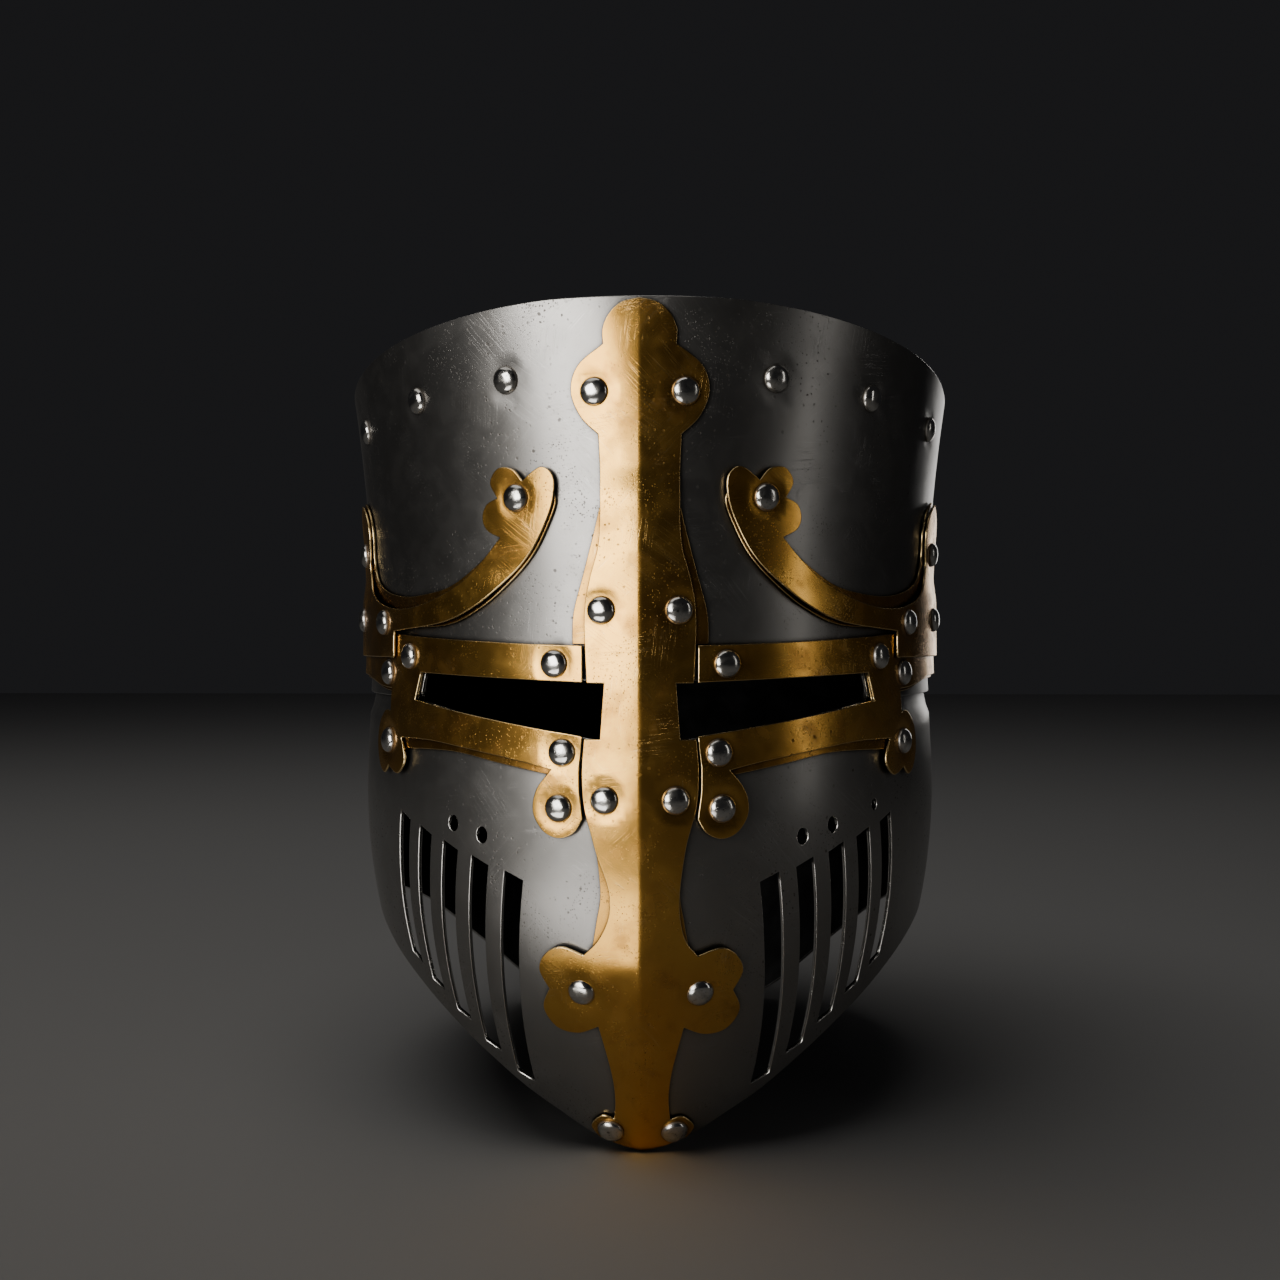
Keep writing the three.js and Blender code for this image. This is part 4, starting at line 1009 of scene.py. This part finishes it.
def horn_ring(rows, side):
    """Outline of a pair of horns from the rows of its front half, mirrored at its axis."""
    rows = [
        (across * HORN_REACH, STEM_BOTTOM + up * HORN_HEIGHT, *mark) for across, up, *mark in rows
    ]
    front = smooth_line(rows)
    rear = [(-x, z) for x, z in reversed(front[1:-1])]
    return [flat(side * (HORN_AXIS - x), z) for x, z in [*front, *rear]]


def horn_level(turn, z):
    return THIRD_LAYER - BRASS_STEP * ramp(z, *HORN_BEND)


for word, side in (("left", -1), ("right", 1)):
    upper, under = horn_ring(HORN_EDGE, side), horn_ring(HORN_UNDER_EDGE, side)
    brass_sheet(f"horn_sheet_{word}", f"horn_{word}", upper, horn_level)
    brass_sheet(f"horn_under_{word}", f"horn_backing_{word}", under)

# Rivets
# Domed steel rivets, driven cold and planished bright. They hold the plates together and the cross
# to them, each in the shallow dish that its setting left.
RIVET_HEIGHT = 2.5
# Height of a head's middle over its seat, and how far its foot stands off the seat.
RIVET_MIDDLE, RIVET_LIFT = 1.2, 0.12
DOME_FULLNESS = 0.86
SEATS = {
    "bar_head": FIRST_LAYER + BRASS_THICK,
    "bar_upper": SECOND_LAYER + BRASS_THICK,
    "bar_lower": SECOND_LAYER + BRASS_THICK,
    "bar_cross": FIRST_LAYER + BRASS_THICK,
    "bar_foot": FIRST_LAYER + BRASS_THICK,
    "frame": SECOND_LAYER + BRASS_THICK,
    "tab": SECOND_LAYER + BRASS_THICK,
    "horn": SECOND_LAYER + BRASS_THICK,
    "stem": THIRD_LAYER + BRASS_THICK,
    "crown": 0.0,
}


def bright_rivet():
    material = bpy.data.materials.new("planished rivet")
    material.use_nodes = True
    tree = material.node_tree
    surface = tree.nodes["Principled BSDF"]
    place = node(tree, "ShaderNodeTexCoord").outputs["Object"]
    own = node(tree, "ShaderNodeObjectInfo").outputs["Random"]
    far = maths(tree, "MULTIPLY", own, 91.0)
    shift = node(tree, "ShaderNodeCombineXYZ", {0: far, 1: own, 2: own})
    grown = node(tree, "ShaderNodeVectorMath", {0: place, "Scale": 1000.0}, operation="SCALE")
    moved = node(tree, "ShaderNodeVectorMath", {0: grown.outputs[0], 1: shift.outputs[0]})
    where = moved.outputs[0]
    lines = node(tree, "ShaderNodeGroup", {"Where": where, "Amount": 0.8}, node_tree=SCRATCHES)
    pits = node(tree, "ShaderNodeGroup", {"Where": where, "Amount": 0.9}, node_tree=PITS)
    height = node(tree, "ShaderNodeSeparateXYZ", {0: place}).outputs[2]
    foot = remap(tree, height, 0.0002, 0.0009, 1.0, 0.0)
    cloud = noise(tree, where, 3.1, 3.0, 0.8)
    bright, dull = (0.66, 0.64, 0.60, 1), (0.50, 0.48, 0.44, 1)
    tone = tone_mix(tree, remap(tree, cloud, 0.4, 0.65), bright, dull)
    tone = tone_mix(tree, maths(tree, "MULTIPLY", foot, 0.7), tone, (0.13, 0.105, 0.08, 1))
    pitted = maths(tree, "MULTIPLY", pits.outputs[0], 0.8)
    tone = tone_mix(tree, pitted, tone, (0.07, 0.055, 0.045, 1))
    scratched = maths(tree, "MULTIPLY", lines.outputs[0], 0.4)
    tone = tone_mix(tree, scratched, tone, (0.85, 0.84, 0.81, 1))
    tree.links.new(tone, surface.inputs["Base Color"])
    rough = remap(tree, cloud, 0.35, 0.7, 0.14, 0.27)
    rough = maths(tree, "ADD", rough, maths(tree, "MULTIPLY", foot, 0.3))
    tree.links.new(rough, surface.inputs["Roughness"])
    surface.inputs["Metallic"].default_value = 1.0
    relief = maths(tree, "SUBTRACT", noise(tree, where, 1.7, 2.0), pitted)
    bump = node(tree, "ShaderNodeBump", {"Height": relief, "Distance": 0.00006, "Strength": 0.45})
    tree.links.new(bump.outputs[0], surface.inputs["Normal"])
    return material


def dome_mesh(name, columns=40):
    """A domed head turned on the Z axis, its foot at 0, in metres."""
    angles = np.linspace(0.06, math.pi / 2, 14)
    foot = [(RIVET_RADIUS * 0.5, -0.4), (RIVET_RADIUS * 0.97, -0.4), (RIVET_RADIUS, -0.05)]
    dome = [
        (RIVET_RADIUS * math.cos(a) ** DOME_FULLNESS, RIVET_HEIGHT * math.sin(a))
        for a in angles[:-1]
    ]
    profile = [*foot, *dome]
    places, faces = [], []
    for radius, z in profile:
        for i in range(columns):
            angle = 2 * math.pi * i / columns
            place = (radius * math.cos(angle), radius * math.sin(angle), z)
            places.append(tuple(value / 1000 for value in place))
    for ring in range(len(profile) - 1):
        low, high = ring * columns, (ring + 1) * columns
        for i in range(columns):
            k = (i + 1) % columns
            faces.append((low + i, low + k, high + k, high + i))
    places += [(0, 0, RIVET_HEIGHT / 1000), (0, 0, -0.0004)]
    top = len(places) - 2
    last = (len(profile) - 1) * columns
    faces += [(last + i, last + (i + 1) % columns, top) for i in range(columns)]
    faces += [((i + 1) % columns, i, top + 1) for i in range(columns)]
    mesh = bpy.data.meshes.new(name)
    mesh.from_pydata(places, [], faces)
    mesh.polygons.foreach_set("use_smooth", [True] * len(mesh.polygons))
    return mesh


RIVET = bright_rivet()
head_mesh = dome_mesh("rivet head")
head_mesh.materials.append(RIVET)
fine_turns = np.linspace(-2, 2, 8001)
for number, (name, middle) in enumerate(RIVET_MIDDLES.items()):
    _, kind, *rest = name.split("_")
    key = f"{kind}_{rest[0]}" if kind == "bar" else kind
    z = np.array([middle[2]])
    nearest = np.argmin(((shell_point(fine_turns, middle[2]) - middle) ** 2).sum(axis=1))
    turn = fine_turns[nearest : nearest + 1]
    for _ in range(3):
        lean = shell_normal(turn, z)[0][2]
        z = middle[2:] - lean * (SEATS[key] + RIVET_MIDDLE)
    seat = on_shell(turn * QUARTER, z, lambda away, height: SEATS[key] + 0 * height)[0]
    outward = shell_normal(turn, z)[0]
    head = bpy.data.objects.new(f"head_{name[6:]}", head_mesh)
    bpy.context.scene.collection.objects.link(head)
    head.location = Vector((seat + outward * RIVET_LIFT) / 1000)
    head.rotation_euler = Vector(outward).to_track_quat("Z", "Y").to_euler()
    head.rotation_euler.rotate_axis("Z", 0.7 * number)
    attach(head, "root")
    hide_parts(name)

# Studio
# Pale floor, a broad soft light at the left front, weaker ones low down, at the right, behind and
# overhead, and the camera where the photograph was taken from. All but the overhead light fall on
# the helm only, so that the floor's glow doesn't wash out the metal.


def soft_light(name, place, aim, size, power, roll=0.0):
    lamp = bpy.data.lights.new(name, "AREA")
    lamp.shape = "RECTANGLE"
    lamp.size, lamp.size_y = size
    lamp.energy = power
    lamp.color = (1.0, 0.98, 0.955)
    holder = bpy.data.objects.new(name, lamp)
    bpy.context.scene.collection.objects.link(holder)
    holder.location = place
    holder.visible_camera = False
    holder.rotation_euler = (Vector(aim) - Vector(place)).to_track_quat("-Z", "Y").to_euler()
    holder.rotation_euler.rotate_axis("Z", roll)
    return holder


helm_only = bpy.data.collections.new("helm only")
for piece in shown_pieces():
    helm_only.objects.link(piece)
key = soft_light(
    "left front softbox",
    place=(-0.87, -1.32, 0.42),
    aim=(-0.02, -0.05, 0.17),
    size=(0.86, 1.10),
    power=24.5,
    roll=0.46,
)
low = soft_light(
    "low left softbox",
    place=(-0.15, -0.33, 0.006),
    aim=(-0.15, -0.33, 1.0),
    size=(0.24, 0.20),
    power=0.5,
)
side = soft_light(
    "right strip",
    place=(1.38, -0.55, 0.45),
    aim=(0, 0, 0.18),
    size=(0.12, 0.9),
    power=0.65,
)
rear = soft_light(
    "rear strip",
    place=(0.72, 1.35, 0.5),
    aim=(0, 0, 0.2),
    size=(0.4, 0.8),
    power=2.4,
)
for lamp in (key, low, side, rear):
    lamp.light_linking.receiver_collection = helm_only
soft_light(
    "overhead softbox",
    place=(-0.5, -0.2, 1.9),
    aim=(0, 0, 0),
    size=(1.6, 1.6),
    power=6.5,
)

floor_mesh = bpy.data.meshes.new("floor")
floor_mesh.from_pydata([(-4, -3, 0), (4, -3, 0), (4, 4, 0), (-4, 4, 0)], [], [(0, 1, 2, 3)])
floor = bpy.data.objects.new("floor", floor_mesh)
bpy.context.scene.collection.objects.link(floor)
floor_paint = bpy.data.materials.new("pale floor")
floor_paint.use_nodes = True
paint = floor_paint.node_tree.nodes["Principled BSDF"]
paint.inputs["Base Color"].default_value = (0.46, 0.455, 0.445, 1)
paint.inputs["Roughness"].default_value = 0.85
floor_mesh.materials.append(floor_paint)

world = bpy.data.worlds.new("studio")
bpy.context.scene.world = world
world.use_nodes = True
background = world.node_tree.nodes["Background"]
background.inputs["Color"].default_value = (0.012, 0.012, 0.013, 1)
background.inputs["Strength"].default_value = 1.0

camera = bpy.data.objects.new("camera", bpy.data.cameras.new("camera"))
bpy.context.scene.collection.objects.link(camera)
camera.location = (0.0135, -0.59285, 0.182)
camera.rotation_euler = (math.radians(90), 0, math.radians(1.718))
camera.data.lens = 38.22
camera.data.sensor_width = 36.0
camera.data.clip_start = 0.01
bpy.context.scene.camera = camera
